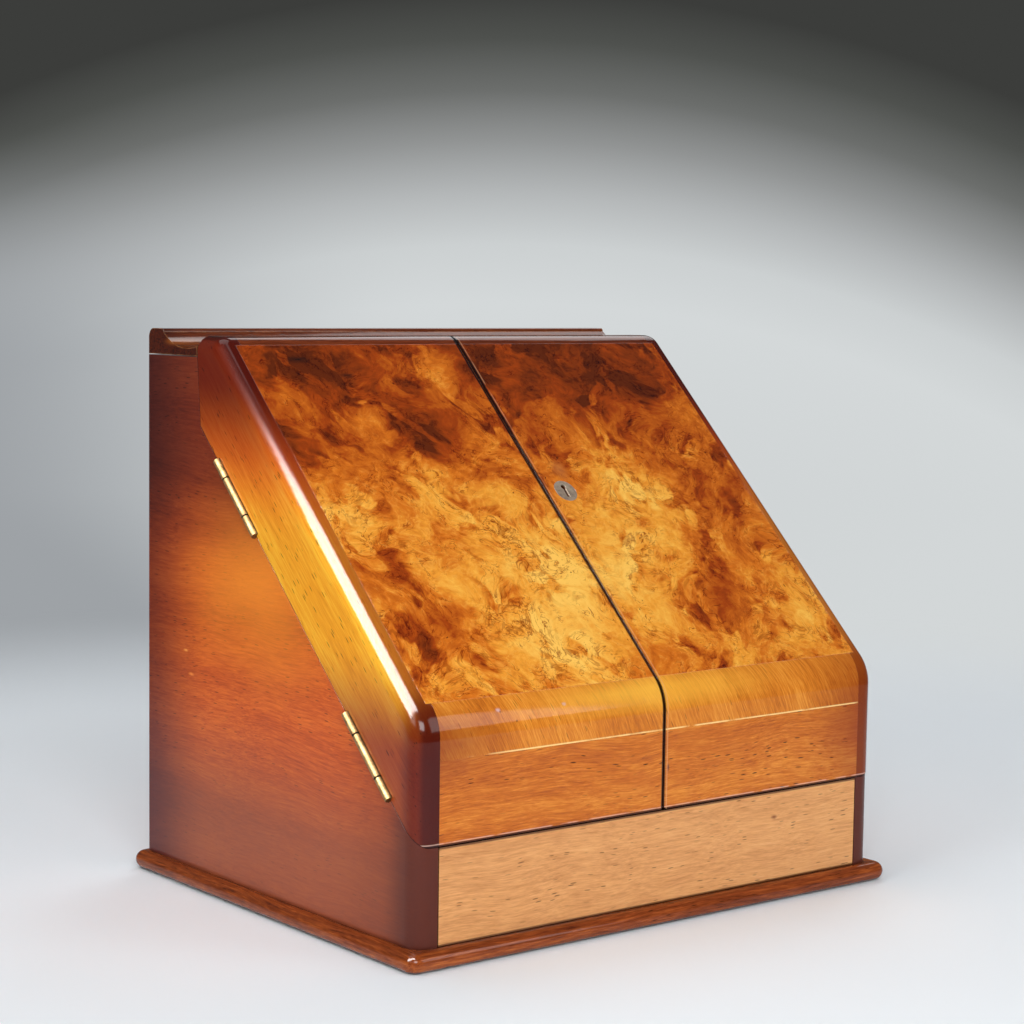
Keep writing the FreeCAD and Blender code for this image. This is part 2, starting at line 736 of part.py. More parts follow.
def make_leaf(name, frame, hand, half, leaf_width, moving):
    """One hinge leaf with its knuckles, in a frame whose Y runs along the pin."""
    body = new_body(name, *frame)
    low_z = size("seam") / 2 if moving else -(size("seam") / 2 + size("leaf_thick"))
    across = sided(-hand, 0, leaf_width)
    sketch = new_sketch(body, "XY_Plane", (0, 0, low_z))
    pad(body, draw_box(sketch, (across[0], -half), (across[1], half)), size("leaf_thick"))
    barrel = size("knuckle_radius") + size("running_gap")
    cut_back = sided(-hand, 0, barrel)
    for low, high in free_stretches(half, moving):
        sketch = new_sketch(body, "XY_Plane", (0, 0, low_z))
        draw_box(sketch, (cut_back[0], low), (cut_back[1], high))
        pocket(body, sketch, size("leaf_thick"), forward=True)
    for low, high in barrel_stretches(half, moving):
        sketch = new_sketch(body, "XZ_Plane", (0, 0, -high))
        pad(body, draw_circle(sketch, (0, 0), size("knuckle_radius")), high - low)
    bore = size("pin_radius") + size("pin_fit")
    sketch = new_sketch(body, "XZ_Plane", (0, 0, half))
    draw_circle(sketch, (0, 0), bore)
    pocket(body, sketch, half * 2)
    return body


def make_pin(name, frame, half):
    """The pin of one hinge."""
    body = new_body(name, *frame)
    sketch = new_sketch(body, "XZ_Plane", (0, 0, -half))
    pad(body, draw_circle(sketch, (0, 0), size("pin_radius")), half * 2)
    return body


def gather(name, members):
    """One sub-part made of several like solids."""
    group = doc.addObject("Part::Compound", name)
    group.Label = name
    group.Links = members


def make_hinges(prefix, frames, hand, half, leaf_width):
    """A pair of like hinges: fixed leaves, moving leaves and pins, one node each."""
    fixed = []
    moving = []
    pins = []
    for index, frame in enumerate(frames):
        stem = f"{prefix}_hinge_{index + 1}"
        fixed.append(make_leaf(f"{stem}_fixed", frame, hand, half, leaf_width, moving=False))
        moving.append(make_leaf(f"{stem}_moving", frame, hand, half, leaf_width, moving=True))
        pins.append(make_pin(f"{stem}_pin", frame, half))
    gather(f"{prefix}_hinge_fixed_leaves", fixed)
    gather(f"{prefix}_hinge_moving_leaves", moving)
    gather(f"{prefix}_hinge_pins", pins)


def make_door_hinges(hand):
    """The two brass butts of a door, on the split between door and side board."""
    frames = []
    for along in (size("hinge_low"), upper_hinge):
        depth_y, height = split_point(along)
        place = ((half_width + size("hinge_proud")) * hand, depth_y, height)
        frames.append((place, size("slope_deg")))
    half = size("hinge_length") / 2
    prefix = f"{HAND_NAME[hand]}_door"
    make_hinges(prefix, frames, hand, half, size("hinge_leaf"))


def make_lid_hinges():
    """The two brass butts of the lid, along the back board."""
    frames = []
    for hand in (LEFT, RIGHT):
        place_x = (half_width - size("lid_hinge_inset")) * hand
        place = (place_x, front + size("hinge_proud"), lid_seat)
        frames.append((place, as_size(-90), FreeCAD.Vector(0, 0, 1)))
    half = size("lid_hinge_length") / 2
    make_hinges("lid", frames, LEFT, half, size("lid_hinge_leaf"))


def along_slope(distance, depth_below):
    """Depth and height of a point up the slope from the nose, and below its face."""
    depth_y = door_y + distance * slope_cos + depth_below * slope_sin
    height = size("nose_z") + distance * slope_sin - depth_below * slope_cos
    return depth_y, height


def make_door_side(hand):
    """A door's side board: the whole outline of slope, nose and top, with rounded edges."""
    body = new_body(f"{HAND_NAME[hand]}_door_side")
    start, thick = span(hand, inner_x, half_width)
    points = [
        (door_y, door_bottom),
        ((size("seam") / 2 - seam_rise) / rise - front, door_bottom),
        (door_back(door_corner_z), door_corner_z),
        (door_back(ridge_z), ridge_z),
        (ridge_y, ridge_z),
        (door_y, size("nose_z")),
    ]
    pad(body, draw(new_sketch(body, "YZ_Plane", (0, 0, start)), points), thick)
    bends = ((size("nose_round"), door_y, size("nose_z")), (size("ridge_round"), ridge_y, ridge_z))
    for radius, place_y, place_z in bends:
        round_edges(body, radius, lambda edge: edge_lies(edge, y=place_y, z=place_z))
    split_line = value(size("sill") + front * rise)

    def on_skin(edge):
        if not edge_lies(edge, x=half_width * hand):
            return False
        middle = edge.CenterOfMass
        above_split = middle.z - split_line - middle.y * value(rise) > value(size("edge_round"))
        short_of_back = middle.y < value(door_back(middle.z)) - NEAR
        on_front = abs(middle.y - value(door_y)) < NEAR
        return on_front or (above_split and short_of_back)

    round_edges(body, size("edge_round"), on_skin)
    start_y, start_z = along_slope(0, 0)
    sketch = new_sketch(body, "XY_Plane", (0, start_y, start_z), size("slope_deg"))
    across = sided(hand, inner_x, burr_x)
    draw_box(sketch, (across[0], burr_low), (across[1], burr_high))
    pocket(body, sketch, size("veneer_thick"))
    hinge_seats(body, hand, upward=True)


def door_board(name, hand, points):
    """One board of a door, drawn from the side and as long as the door is wide."""
    body = new_body(name)
    start, length = span(hand, meet_x, inner_x)
    pad(body, draw(new_sketch(body, "YZ_Plane", (0, 0, start)), points), length)
    return body


def make_door_boards(hand):
    """Nose rail, lower rail and top rail of a door."""
    name = HAND_NAME[hand]
    thick = size("board_thick")
    inner_y = door_y + thick
    inner_nose = size("nose_z") - thick * (1 - slope_sin) / slope_cos
    inner_ridge = ridge_y + thick * (1 - slope_cos) / slope_sin

    nose = door_board(
        f"{name}_nose_rail",
        hand,
        [
            (door_y, band_z),
            (inner_y, band_z),
            (inner_y, inner_nose),
            along_slope(burr_low, thick),
            along_slope(burr_low, 0),
            (door_y, size("nose_z")),
        ],
    )
    round_edges(nose, size("nose_round"), lambda edge: edge_lies(edge, y=door_y, z=size("nose_z")))

    lower = door_board(
        f"{name}_lower_rail",
        hand,
        [
            (door_y, door_bottom),
            (inner_y, door_bottom),
            (inner_y, band_z),
            (door_y, band_z),
        ],
    )
    ease = size("corner_left") if hand == LEFT else size("corner_right")
    round_edges(lower, ease, lambda edge: edge_lies(edge, x=meet_x * hand, z=door_bottom))

    top = door_board(
        f"{name}_top_rail",
        hand,
        [
            along_slope(burr_high, 0),
            along_slope(burr_high, thick),
            (inner_ridge, ridge_z - thick),
            (door_back(ridge_z - thick), ridge_z - thick),
            (door_back(ridge_z), ridge_z),
            (ridge_y, ridge_z),
        ],
    )
    round_edges(top, size("ridge_round"), lambda edge: edge_lies(edge, y=ridge_y, z=ridge_z))


def slope_frame():
    """Frame on the slope: X across, Y up the slope from the nose, Z out of it."""
    return (0, door_y, size("nose_z")), size("slope_deg")


def cut_keyhole(body, top, deep):
    """Cut the round head and the slot of the keyhole down from a level."""
    radius = size("keyhole_radius")
    half = size("keyhole_length") / 2
    head_s = lock_s + half - radius
    sketch = new_sketch(body, "XY_Plane", (0, 0, top))
    pocket(body, draw_circle(sketch, (size("key_x"), head_s), radius), deep)
    half_slot = size("keyhole_slot") / 2
    sketch = new_sketch(body, "XY_Plane", (0, 0, top))
    low = (size("key_x") - half_slot, lock_s - half)
    pocket(body, draw_box(sketch, low, (size("key_x") + half_slot, head_s)), deep)


def draw_plate(sketch):
    """The keyhole plate's outline: straight sides and round ends."""
    radius = size("plate_width") / 2
    reach = size("plate_length") / 2 - radius
    low = lock_s - reach
    high = lock_s + reach
    left = size("key_x") - radius
    right = size("key_x") + radius
    bulge = radius + size("plate_bulge")
    return draw(sketch, [(left, low, bulge), (right, low), (right, high, bulge), (left, high)])


def bolt_window(sketch, play):
    """The bolt's section with play all round, seen along the bolt."""
    half_s = size("bolt_height") / 2 + play
    half_n = size("bolt_thick") / 2 + play
    low = (lock_s - half_s, bolt_n - half_n)
    return draw_box(sketch, low, (lock_s + half_s, bolt_n + half_n))


def make_panel(hand):
    """A door's slope board and the burr veneer on it, with what the lock needs cut out."""
    name = HAND_NAME[hand]
    thick = size("board_thick")
    veneer = size("veneer_thick")
    panel = new_body(f"{name}_slope_board", *slope_frame())
    across = sided(hand, meet_x, inner_x)
    sketch = new_sketch(panel, "XY_Plane", (0, 0, -thick))
    draw_box(sketch, (across[0], burr_low), (across[1], burr_high))
    pad(panel, sketch, thick - veneer)

    burr = new_body(f"{name}_burr_veneer", *slope_frame())
    across = sided(hand, meet_x, burr_x)
    sketch = new_sketch(burr, "XY_Plane", (0, 0, -veneer))
    draw_box(sketch, (across[0], burr_low), (across[1], burr_high))
    pad(burr, sketch, veneer)

    half_lock = size("lock_length") / 2
    if hand == RIGHT:
        sketch = new_sketch(panel, "XY_Plane", (0, 0, -thick))
        low = (meet_x, lock_s - half_lock)
        high = (meet_x + size("lock_width"), lock_s + half_lock)
        pocket(panel, draw_box(sketch, low, high), size("lock_depth"), forward=True)
        cut_keyhole(panel, -veneer, thick - veneer - size("lock_depth"))
        pocket(burr, draw_plate(new_sketch(burr, "XY_Plane")), veneer)
        return
    half_strike = size("strike_length") / 2
    half_wide = size("strike_width") / 2
    sketch = new_sketch(panel, "YZ_Plane", (0, 0, -meet_x))
    low = (lock_s - half_strike, bolt_n - half_wide)
    high = (lock_s + half_strike, bolt_n + half_wide)
    pocket(panel, draw_box(sketch, low, high), size("strike_thick"))
    sketch = bolt_window(new_sketch(panel, "YZ_Plane", (0, 0, -meet_x)), size("running_gap") * 2)
    pocket(panel, sketch, size("bolt_room"))


def make_lock():
    """Lock case, bolt, keyhole plate and the strike plate in the other door."""
    thick = size("board_thick")
    half_lock = size("lock_length") / 2
    case = new_body("lock_case", *slope_frame())
    sketch = new_sketch(case, "XY_Plane", (0, 0, -thick))
    low = (meet_x, lock_s - half_lock)
    high = (meet_x + size("lock_width"), lock_s + half_lock)
    pad(case, draw_box(sketch, low, high), size("lock_depth"))
    channel = size("bolt_length") + size("running_gap") * 2
    sketch = new_sketch(case, "YZ_Plane", (0, 0, meet_x))
    pocket(case, bolt_window(sketch, size("bolt_fit")), channel, forward=True)
    cut_keyhole(case, size("lock_depth") - thick, size("lock_depth"))

    bolt = new_body("lock_bolt", *slope_frame())
    sketch = new_sketch(bolt, "YZ_Plane", (0, 0, meet_x + size("running_gap")))
    pad(bolt, bolt_window(sketch, 0), size("bolt_length"))

    plate = new_body("keyhole_plate", *slope_frame())
    veneer = size("veneer_thick")
    pad(plate, draw_plate(new_sketch(plate, "XY_Plane", (0, 0, -veneer))), veneer)
    cut_keyhole(plate, 0, veneer)

    strike = new_body("strike_plate", *slope_frame())
    half_strike = size("strike_length") / 2
    half_wide = size("strike_width") / 2
    sketch = new_sketch(strike, "YZ_Plane", (0, 0, -(meet_x + size("strike_thick"))))
    low = (lock_s - half_strike, bolt_n - half_wide)
    high = (lock_s + half_strike, bolt_n + half_wide)
    pad(strike, draw_box(sketch, low, high), size("strike_thick"))
    sketch = bolt_window(new_sketch(strike, "YZ_Plane", (0, 0, -meet_x)), size("running_gap"))
    pocket(strike, sketch, size("strike_thick"))


def make_lid():
    """The lid: a board as wide as the carcass with a lip at the back and a pen cove."""
    body = new_body("lid_board")
    lip_y = front - size("lip_depth")
    cove_z = ridge_z - size("cove_drop")
    points = [
        (lid_face(lid_under), lid_under),
        (front, lid_under),
        (front, lid_top),
        (lip_y, lid_top),
        (lip_y, lid_top - size("lip_height"), -size("cove_radius")),
        (lid_face(cove_z), cove_z),
    ]
    sketch = draw(new_sketch(body, "YZ_Plane", (0, 0, -half_width)), points)
    pad(body, sketch, size("width"))
    round_edges(
        body,
        size("lid_round"),
        lambda edge: edge_lies(edge, y=front, z=lid_top),
    )
    lip_round = size("lip_height") - size("lip_flat")
    round_edges(body, lip_round, lambda edge: edge_lies(edge, y=lip_y, z=lid_top))
    lid_hinge_seats(body, upward=True)


def make_drawer():
    """The base drawer: a plain front between the side boards and a thin box behind it."""
    low_z = size("plinth_thick") + size("running_gap")
    reach = inner_x - size("drawer_gap")
    back_y = size("drawer_front") - front
    wall = size("drawer_side")
    rear_y = front - size("back_thick") - size("stop_depth") - size("running_gap")
    top = floor_under - size("drawer_room")
    box_body("drawer_front", (-reach, -front, low_z), (reach, back_y, floor_top))
    for hand in (LEFT, RIGHT):
        across = sided(hand, reach - wall, reach)
        name = f"drawer_{HAND_NAME[hand]}_side"
        box_body(name, (across[0], back_y, low_z), (across[1], rear_y, top))
    inside = reach - wall
    box_body("drawer_back", (-inside, rear_y - wall, low_z), (inside, rear_y, top))
    under = low_z + size("drawer_lift")
    high = (inside, rear_y - wall, under + size("drawer_bottom"))
    box_body("drawer_bottom", (-inside, back_y, under), high)


def make_drawer_stops():
    """The two blocks on the plinth that stop the drawer flush with the sides."""
    rear_y = front - size("back_thick")
    low_z = size("plinth_thick")
    stops = []
    for hand in (LEFT, RIGHT):
        centre = (inner_x - size("stop_inset")) * hand
        half = size("stop_width") / 2
        low = (centre - half, rear_y - size("stop_depth"), low_z)
        high = (centre + half, rear_y, low_z + size("stop_height"))
        stops.append(box_body(f"stop_{HAND_NAME[hand]}", low, high))
    gather("drawer_stops", stops)


def exported():
    """Every sub-part that stands for itself: all bodies and groups but the grouped ones."""
    grouped = set()
    for item in doc.Objects:
        if item.TypeId == "Part::Compound":
            grouped.update(member.Name for member in item.Links)
    kinds = ("PartDesign::Body", "Part::Compound")
    return [item for item in doc.Objects if item.TypeId in kinds and item.Name not in grouped]


def check_document():
    """Stop on any failed object or unsound solid."""
    for item in doc.Objects:
        if "Invalid" in item.State or "Error" in item.State:
            raise RuntimeError(f"{item.Label} failed: {item.State}")
    for item in exported():
        shape = item.Shape
        if shape.isNull() or not shape.isValid() or not shape.Solids:
            raise RuntimeError(f"{item.Label} is not a sound solid")


def main():
    """Build every sub-part, check them all and write one file each."""
    doc.recompute()
    make_plinth()
    for hand in (LEFT, RIGHT):
        make_side(hand)
    make_back()
    make_floor()
    make_rack()
    make_ink_stand()
    make_drawer_stops()
    for hand in (LEFT, RIGHT):
        make_ink_bottle(hand)
        make_door_side(hand)
        make_door_boards(hand)
        make_panel(hand)
        make_door_hinges(hand)
    make_lock()
    make_lid()
    make_lid_hinges()
    make_drawer()
    doc.recompute()
    check_document()
    os.makedirs(PARTS, exist_ok=True)
    for item in exported():
        item.Shape.exportStep(f"{PARTS}/{item.Label}.step")
    print(f"{len(exported())} sub-parts written")


main()
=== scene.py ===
"""Looks of the sloping-front writing box: polished woods, brass, screws, studio and camera."""

import json
import logging
import math
from collections.abc import Iterable
from dataclasses import dataclass, replace
from enum import Enum

import bmesh
import bpy
from mathutils import Matrix, Vector


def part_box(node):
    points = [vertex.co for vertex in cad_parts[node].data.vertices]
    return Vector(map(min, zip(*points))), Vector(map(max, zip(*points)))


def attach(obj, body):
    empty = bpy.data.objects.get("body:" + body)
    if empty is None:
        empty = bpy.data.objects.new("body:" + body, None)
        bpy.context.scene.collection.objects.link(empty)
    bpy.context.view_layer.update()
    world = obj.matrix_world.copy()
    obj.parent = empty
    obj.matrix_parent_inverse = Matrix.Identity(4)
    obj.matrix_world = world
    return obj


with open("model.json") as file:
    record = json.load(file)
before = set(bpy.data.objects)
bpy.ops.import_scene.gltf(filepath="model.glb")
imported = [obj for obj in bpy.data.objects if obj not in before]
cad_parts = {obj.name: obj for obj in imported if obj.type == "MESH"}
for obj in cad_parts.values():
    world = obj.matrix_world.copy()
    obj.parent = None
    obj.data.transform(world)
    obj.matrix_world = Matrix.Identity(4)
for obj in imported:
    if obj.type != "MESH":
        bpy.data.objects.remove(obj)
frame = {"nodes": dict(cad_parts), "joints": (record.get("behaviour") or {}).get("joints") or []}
LOG = logging.getLogger("writing_box")

Colour = tuple[float, float, float, float]
Triple = tuple[float, float, float]
Socket = bpy.types.NodeSocket
Source = Socket | float | Triple | Colour

MM = 0.001
SLOPE = math.radians(44.0)


class Side(Enum):
    """The two sides of the box, seen from the front."""

    LEFT = -1
    RIGHT = 1

    @property
    def word(self) -> str:
        """The side as the node names spell it."""
        return self.name.lower()


class Grain(Enum):
    """Way the grain runs, as the turns about X, Y and Z that bring it onto X."""

    ACROSS = (0.0, 0.0, 0.0)
    UPRIGHT = (0.0, math.pi / 2, 0.0)
    FRONT_TO_BACK = (0.0, 0.0, -math.pi / 2)
    UP_THE_SLOPE = (-SLOPE, 0.0, -math.pi / 2)
    SLANTING = (0.0, math.radians(-66.0), 0.0)


def shade(red: int, green: int, blue: int) -> Colour:
    """Turn a colour as it looks on screen into the values that a shader takes.

    Args:
        red: Red, 0 to 255.
        green: Green, 0 to 255.
        blue: Blue, 0 to 255.

    Returns:
        Linear red, green and blue, and an alpha of 1.
    """
    parts = []
    for part in (red, green, blue):
        level = part / 255.0
        parts.append(level / 12.92 if level <= 0.04045 else ((level + 0.055) / 1.055) ** 2.4)
    return (parts[0], parts[1], parts[2], 1.0)


class Graph:
    """A material's node tree, built by short calls that each return a socket."""

    def __init__(self, name: str) -> None:
        """Start a material with an empty tree."""
        self.material = bpy.data.materials.new(name)
        self.material.use_nodes = True
        self.tree = self.material.node_tree
        self.tree.nodes.clear()

    def node(self, kind: str, **settings: object) -> bpy.types.Node:
        """Add a node and set its properties.

        Args:
            kind: Type name after "ShaderNode".
            settings: Properties by name.

        Returns:
            The new node.
        """
        made = self.tree.nodes.new("ShaderNode" + kind)
        for key, setting in settings.items():
            setattr(made, key, setting)
        return made

    def feed(self, socket: Socket, source: Source) -> None:
        """Link a socket to another, or set its own value."""
        if isinstance(source, Socket):
            self.tree.links.new(source, socket)
        else:
            socket.default_value = source

    def maths(self, operation: str, first: Source, second: Source = 0.0) -> Socket:
        """Combine two numbers.

        Args:
            operation: Name of the Math operation.
            first: First number.
            second: Second number.

        Returns:
            The result.
        """
        made = self.node("Math", operation=operation)
        self.feed(made.inputs[0], first)
        self.feed(made.inputs[1], second)
        return made.outputs[0]

    def vector(self, operation: str, first: Source, second: Source) -> Socket:
        """Combine two vectors.

        Args:
            operation: Name of the Vector Math operation.
            first: First vector.
            second: Second vector.

        Returns:
            The result.
        """
        made = self.node("VectorMath", operation=operation)
        self.feed(made.inputs[0], first)
        self.feed(made.inputs[1], second)
        return made.outputs[0]

    def place(self, turn: Triple = (0.0, 0.0, 0.0), shift: Triple = (0.0, 0.0, 0.0),
              scale: Triple = (1.0, 1.0, 1.0)) -> Socket:
        """Object coordinates, scaled, turned and then shifted.

        Args:
            turn: Turns about X, Y and Z.
            shift: Shift in metres.
            scale: Factors along X, Y and Z.

        Returns:
            The coordinates.
        """
        made = self.node("Mapping", vector_type="POINT")
        self.feed(made.inputs["Vector"], self.node("TexCoord").outputs["Object"])
        self.feed(made.inputs["Scale"], scale)
        self.feed(made.inputs["Rotation"], turn)
        self.feed(made.inputs["Location"], shift)
        return made.outputs[0]

    def part(self, where: Socket, axis: str) -> Socket:
        """One coordinate of a vector."""
        made = self.node("SeparateXYZ")
        self.feed(made.inputs[0], where)
        return made.outputs[axis]

    def noise(self, where: Socket, scale: float, detail: float = 2.0, rough: float = 0.5,
              swirl: float = 0.0) -> Socket:
        """Soft noise.

        Args:
            where: Coordinates.
            scale: Waves per metre.
            detail: Finer layers on top.
            rough: Strength of the finer layers.
            swirl: How far the noise bends itself.

        Returns:
            Values about 0.5.
        """
        made = self.node("TexNoise")
        self.feed(made.inputs["Vector"], where)
        self.feed(made.inputs["Scale"], scale)
        self.feed(made.inputs["Detail"], detail)
        self.feed(made.inputs["Roughness"], rough)
        self.feed(made.inputs["Distortion"], swirl)
        return made.outputs["Fac"]

    def cells(self, where: Socket, scale: float, smooth: float = 0.0) -> bpy.types.Node:
        """Round cells, one round each of many scattered points.

        Args:
            where: Coordinates.
            scale: Cells per metre.
            smooth: Softness of the borders, 0 for sharp ones.

        Returns:
            The node, with outputs Distance and Color.
        """
        made = self.node("TexVoronoi", feature="SMOOTH_F1" if smooth else "F1")
        self.feed(made.inputs["Vector"], where)
        self.feed(made.inputs["Scale"], scale)
        if smooth:
            self.feed(made.inputs["Smoothness"], smooth)
        return made

    def warp(self, where: Socket, scale: float, reach: float) -> Socket:
        """Push coordinates about by a noise.

        Args:
            where: Coordinates.
            scale: Waves per metre.
            reach: Size of the push in metres.

        Returns:
            The pushed coordinates.
        """
        push = self.node("TexNoise")
        self.feed(push.inputs["Vector"], where)
        self.feed(push.inputs["Scale"], scale)
        self.feed(push.inputs["Detail"], 1.0)
        centred = self.vector("SUBTRACT", push.outputs["Color"], (0.5, 0.5, 0.5))
        return self.vector("ADD", where, self.vector("MULTIPLY", centred, (reach, reach, reach)))

    def span(self, source: Source, low: float, high: float) -> Socket:
        """Spread the values from low to high over 0 to 1, softly and clamped.

        Args:
            source: The values.
            low: What becomes 0.
            high: What becomes 1.

        Returns:
            The spread values.
        """
        made = self.node("MapRange", interpolation_type="SMOOTHSTEP")
        self.feed(made.inputs["Value"], source)
        self.feed(made.inputs["From Min"], low)
        self.feed(made.inputs["From Max"], high)
        return made.outputs["Result"]

    def mix(self, share: Source, first: Source, second: Source, blend: str = "MIX") -> Socket:
        """Mix two colours.

        Args:
            share: Share of the second.
            first: First colour.
            second: Second colour.
            blend: Name of the blend.

        Returns:
            The mixed colour.
        """
        made = self.node("Mix", data_type="RGBA", blend_type=blend)
        self.feed(made.inputs[0], share)
        self.feed(made.inputs[6], first)
        self.feed(made.inputs[7], second)
        return made.outputs[2]

    def ramp(self, source: Source, stops: Iterable[tuple[float, Colour]]) -> Socket:
        """Turn values into colours.

        Args:
            source: The values.
            stops: Places from 0 to 1, each with its colour.

        Returns:
            The colour.
        """
        made = self.node("ValToRGB")
        self.feed(made.inputs[0], source)
        elements = made.color_ramp.elements
        for index, (spot, colour) in enumerate(stops):
            element = elements[index] if index < 2 else elements.new(spot)
            element.position = spot
            element.color = colour
        return made.outputs[0]

    def relief(self, height: Socket, depth: float, under: Socket | None = None) -> Socket:
        """Bump the surface.

        Args:
            height: Height from 0 to 1.
            depth: What a height of 1 stands for, in metres.
            under: Normal to bump further.

        Returns:
            The bumped normal.
        """
        made = self.node("Bump")
        self.feed(made.inputs["Height"], height)
        self.feed(made.inputs["Distance"], depth)
        if under:
            self.feed(made.inputs["Normal"], under)
        return made.outputs[0]

    def soft_edges(self, radius: float) -> Socket:
        """Normal that rounds the arrises by a radius in metres."""
        made = self.node("Bevel", samples=4)
        self.feed(made.inputs["Radius"], radius)
        return made.outputs[0]

    def bright_edges(self, radius: float) -> Socket:
        """Share from 0 to 1 that rises on the arrises, within a radius in metres."""
        bent = self.node("VectorMath", operation="DOT_PRODUCT")
        self.feed(bent.inputs[0], self.soft_edges(radius))
        self.feed(bent.inputs[1], self.node("NewGeometry").outputs["Normal"])
        return self.span(bent.outputs["Value"], 0.985, 0.86)

    def corners(self, reach: float) -> Socket:
        """Share from 0 to 1 that rises in joints and gaps, within a reach in metres; the woods paint shade with
        it, the metals tarnish.
        """
        made = self.node("AmbientOcclusion", samples=4)
        self.feed(made.inputs["Distance"], reach)
        return self.span(made.outputs["AO"], 0.75, 0.2)

    def surface(self, colour: Source, gloss: dict[str, Source], normal: Socket | None = None) -> None:
        """Close the tree with a Principled shader.

        Args:
            colour: Base colour.
            gloss: The shader's other sockets by name.
            normal: Normal of the base and the polish.
        """
        shader = self.node("BsdfPrincipled")
        self.feed(shader.inputs["Base Color"], colour)
        for name, source in gloss.items():
            self.feed(shader.inputs[name], source)
        if normal:
            self.feed(shader.inputs["Normal"], normal)
            self.feed(shader.inputs["Coat Normal"], normal)
        self.feed(self.node("OutputMaterial").inputs["Surface"], shader.outputs[0])


@dataclass(frozen=True)
class Spot:
    """A dent, a knot, a worn place, a painted pool of light or a patch of painted shade on a wood."""

    at: Triple
    reach: Triple
    tint: Colour
    share: float = 1.0
    ragged: float = 0.5
    blend: str = "MIX"

    def lay(self, graph: Graph, colour: Socket) -> Socket:
        """Tint the wood there.

        Args:
            graph: The wood's tree.
            colour: Colour so far.

        Returns:
            The tinted colour.
        """
        gap = graph.vector("SUBTRACT", graph.place(), self.at)
        gap = graph.vector("DIVIDE", gap, self.reach)
        far = graph.node("VectorMath", operation="LENGTH")
        graph.feed(far.inputs[0], gap)
        rim = graph.noise(gap, 1.6, 3.0, 0.6)
        edge = graph.maths("ADD", far.outputs["Value"], graph.maths("MULTIPLY", rim, self.ragged))
        near = graph.span(edge, 1.0 + self.ragged * 0.5, self.ragged * 0.5)
        return graph.mix(graph.maths("MULTIPLY", near, self.share), colour, self.tint, self.blend)


@dataclass(frozen=True)
class Line:
    """A line or strip of another tone, square to one axis."""

    axis: str
    level: float
    half: float
    tint: Colour
    share: float = 0.7
    soft: float = 0.5
    broken: float = 1.0
    fade: tuple[str, float, float] | None = None
    blend: str = "MIX"

    def lay(self, graph: Graph, colour: Socket) -> Socket:
        """Draw the line.

        Args:
            graph: The wood's tree.
            colour: Colour so far.

        Returns:
            The colour with the line on it.
        """
        where = graph.place()
        gap = graph.maths("ABSOLUTE", graph.maths("SUBTRACT", graph.part(where, self.axis), self.level))
        share = graph.span(gap, self.half, self.half * (1.0 - self.soft))
        if self.fade:
            axis, gone, full = self.fade
            share = graph.maths("MULTIPLY", share, graph.span(graph.part(where, axis), gone, full))
        if self.broken:
            patchy = graph.span(graph.noise(where, 60.0, 3.0), 0.5 - 0.2 * self.broken, 0.5)
            share = graph.maths("MULTIPLY", share, patchy)
        return graph.mix(graph.maths("MULTIPLY", share, self.share), colour, self.tint, self.blend)


def darken_to(axis: str, level: float, half: float, factors: Triple, soft: float = 1.0,
          fade: tuple[str, float, float] | None = None) -> Line:
    """Broad darkening that lets the grain show through, used for stains and for painted shade.

    Args:
        axis: Axis that the darkening is square to.
        level: Its middle.
        half: Half its width.
        factors: What red, green and blue are multiplied by in the middle.
        soft: Share of the half width over which it fades.
        fade: Axis, end and start of a fade along the strip.

    Returns:
        The line.
    """
    return Line(axis, level, half, (*factors, 1.0), 1.0, soft, 0.0, fade, "MULTIPLY")


@dataclass(frozen=True)
class Polish:
    """French polish on a wood, or wax where its coat is thin."""

    coat: float = 1.0
    base_rough: float = 0.45
    coat_rough: float = 0.08
    arris: float = 0.35 * MM
    smear: float = 0.12

    def shine(self, graph: Graph, where: Socket) -> dict[str, Source]:
        """Sockets of a polished surface.

        Args:
            graph: The tree.
            where: Coordinates along the grain.

        Returns:
            Principled sockets by name.
        """
        smears = graph.maths("MULTIPLY", graph.noise(where, 22.0, 4.0, 0.6), self.smear)
        return {
            "Roughness": graph.maths("ADD", smears, self.base_rough),
            "Specular IOR Level": 0.2 * (1.0 - self.coat),
            "Coat Weight": self.coat,
            "Coat Roughness": self.coat_rough,
            "Coat IOR": 1.34,
        }


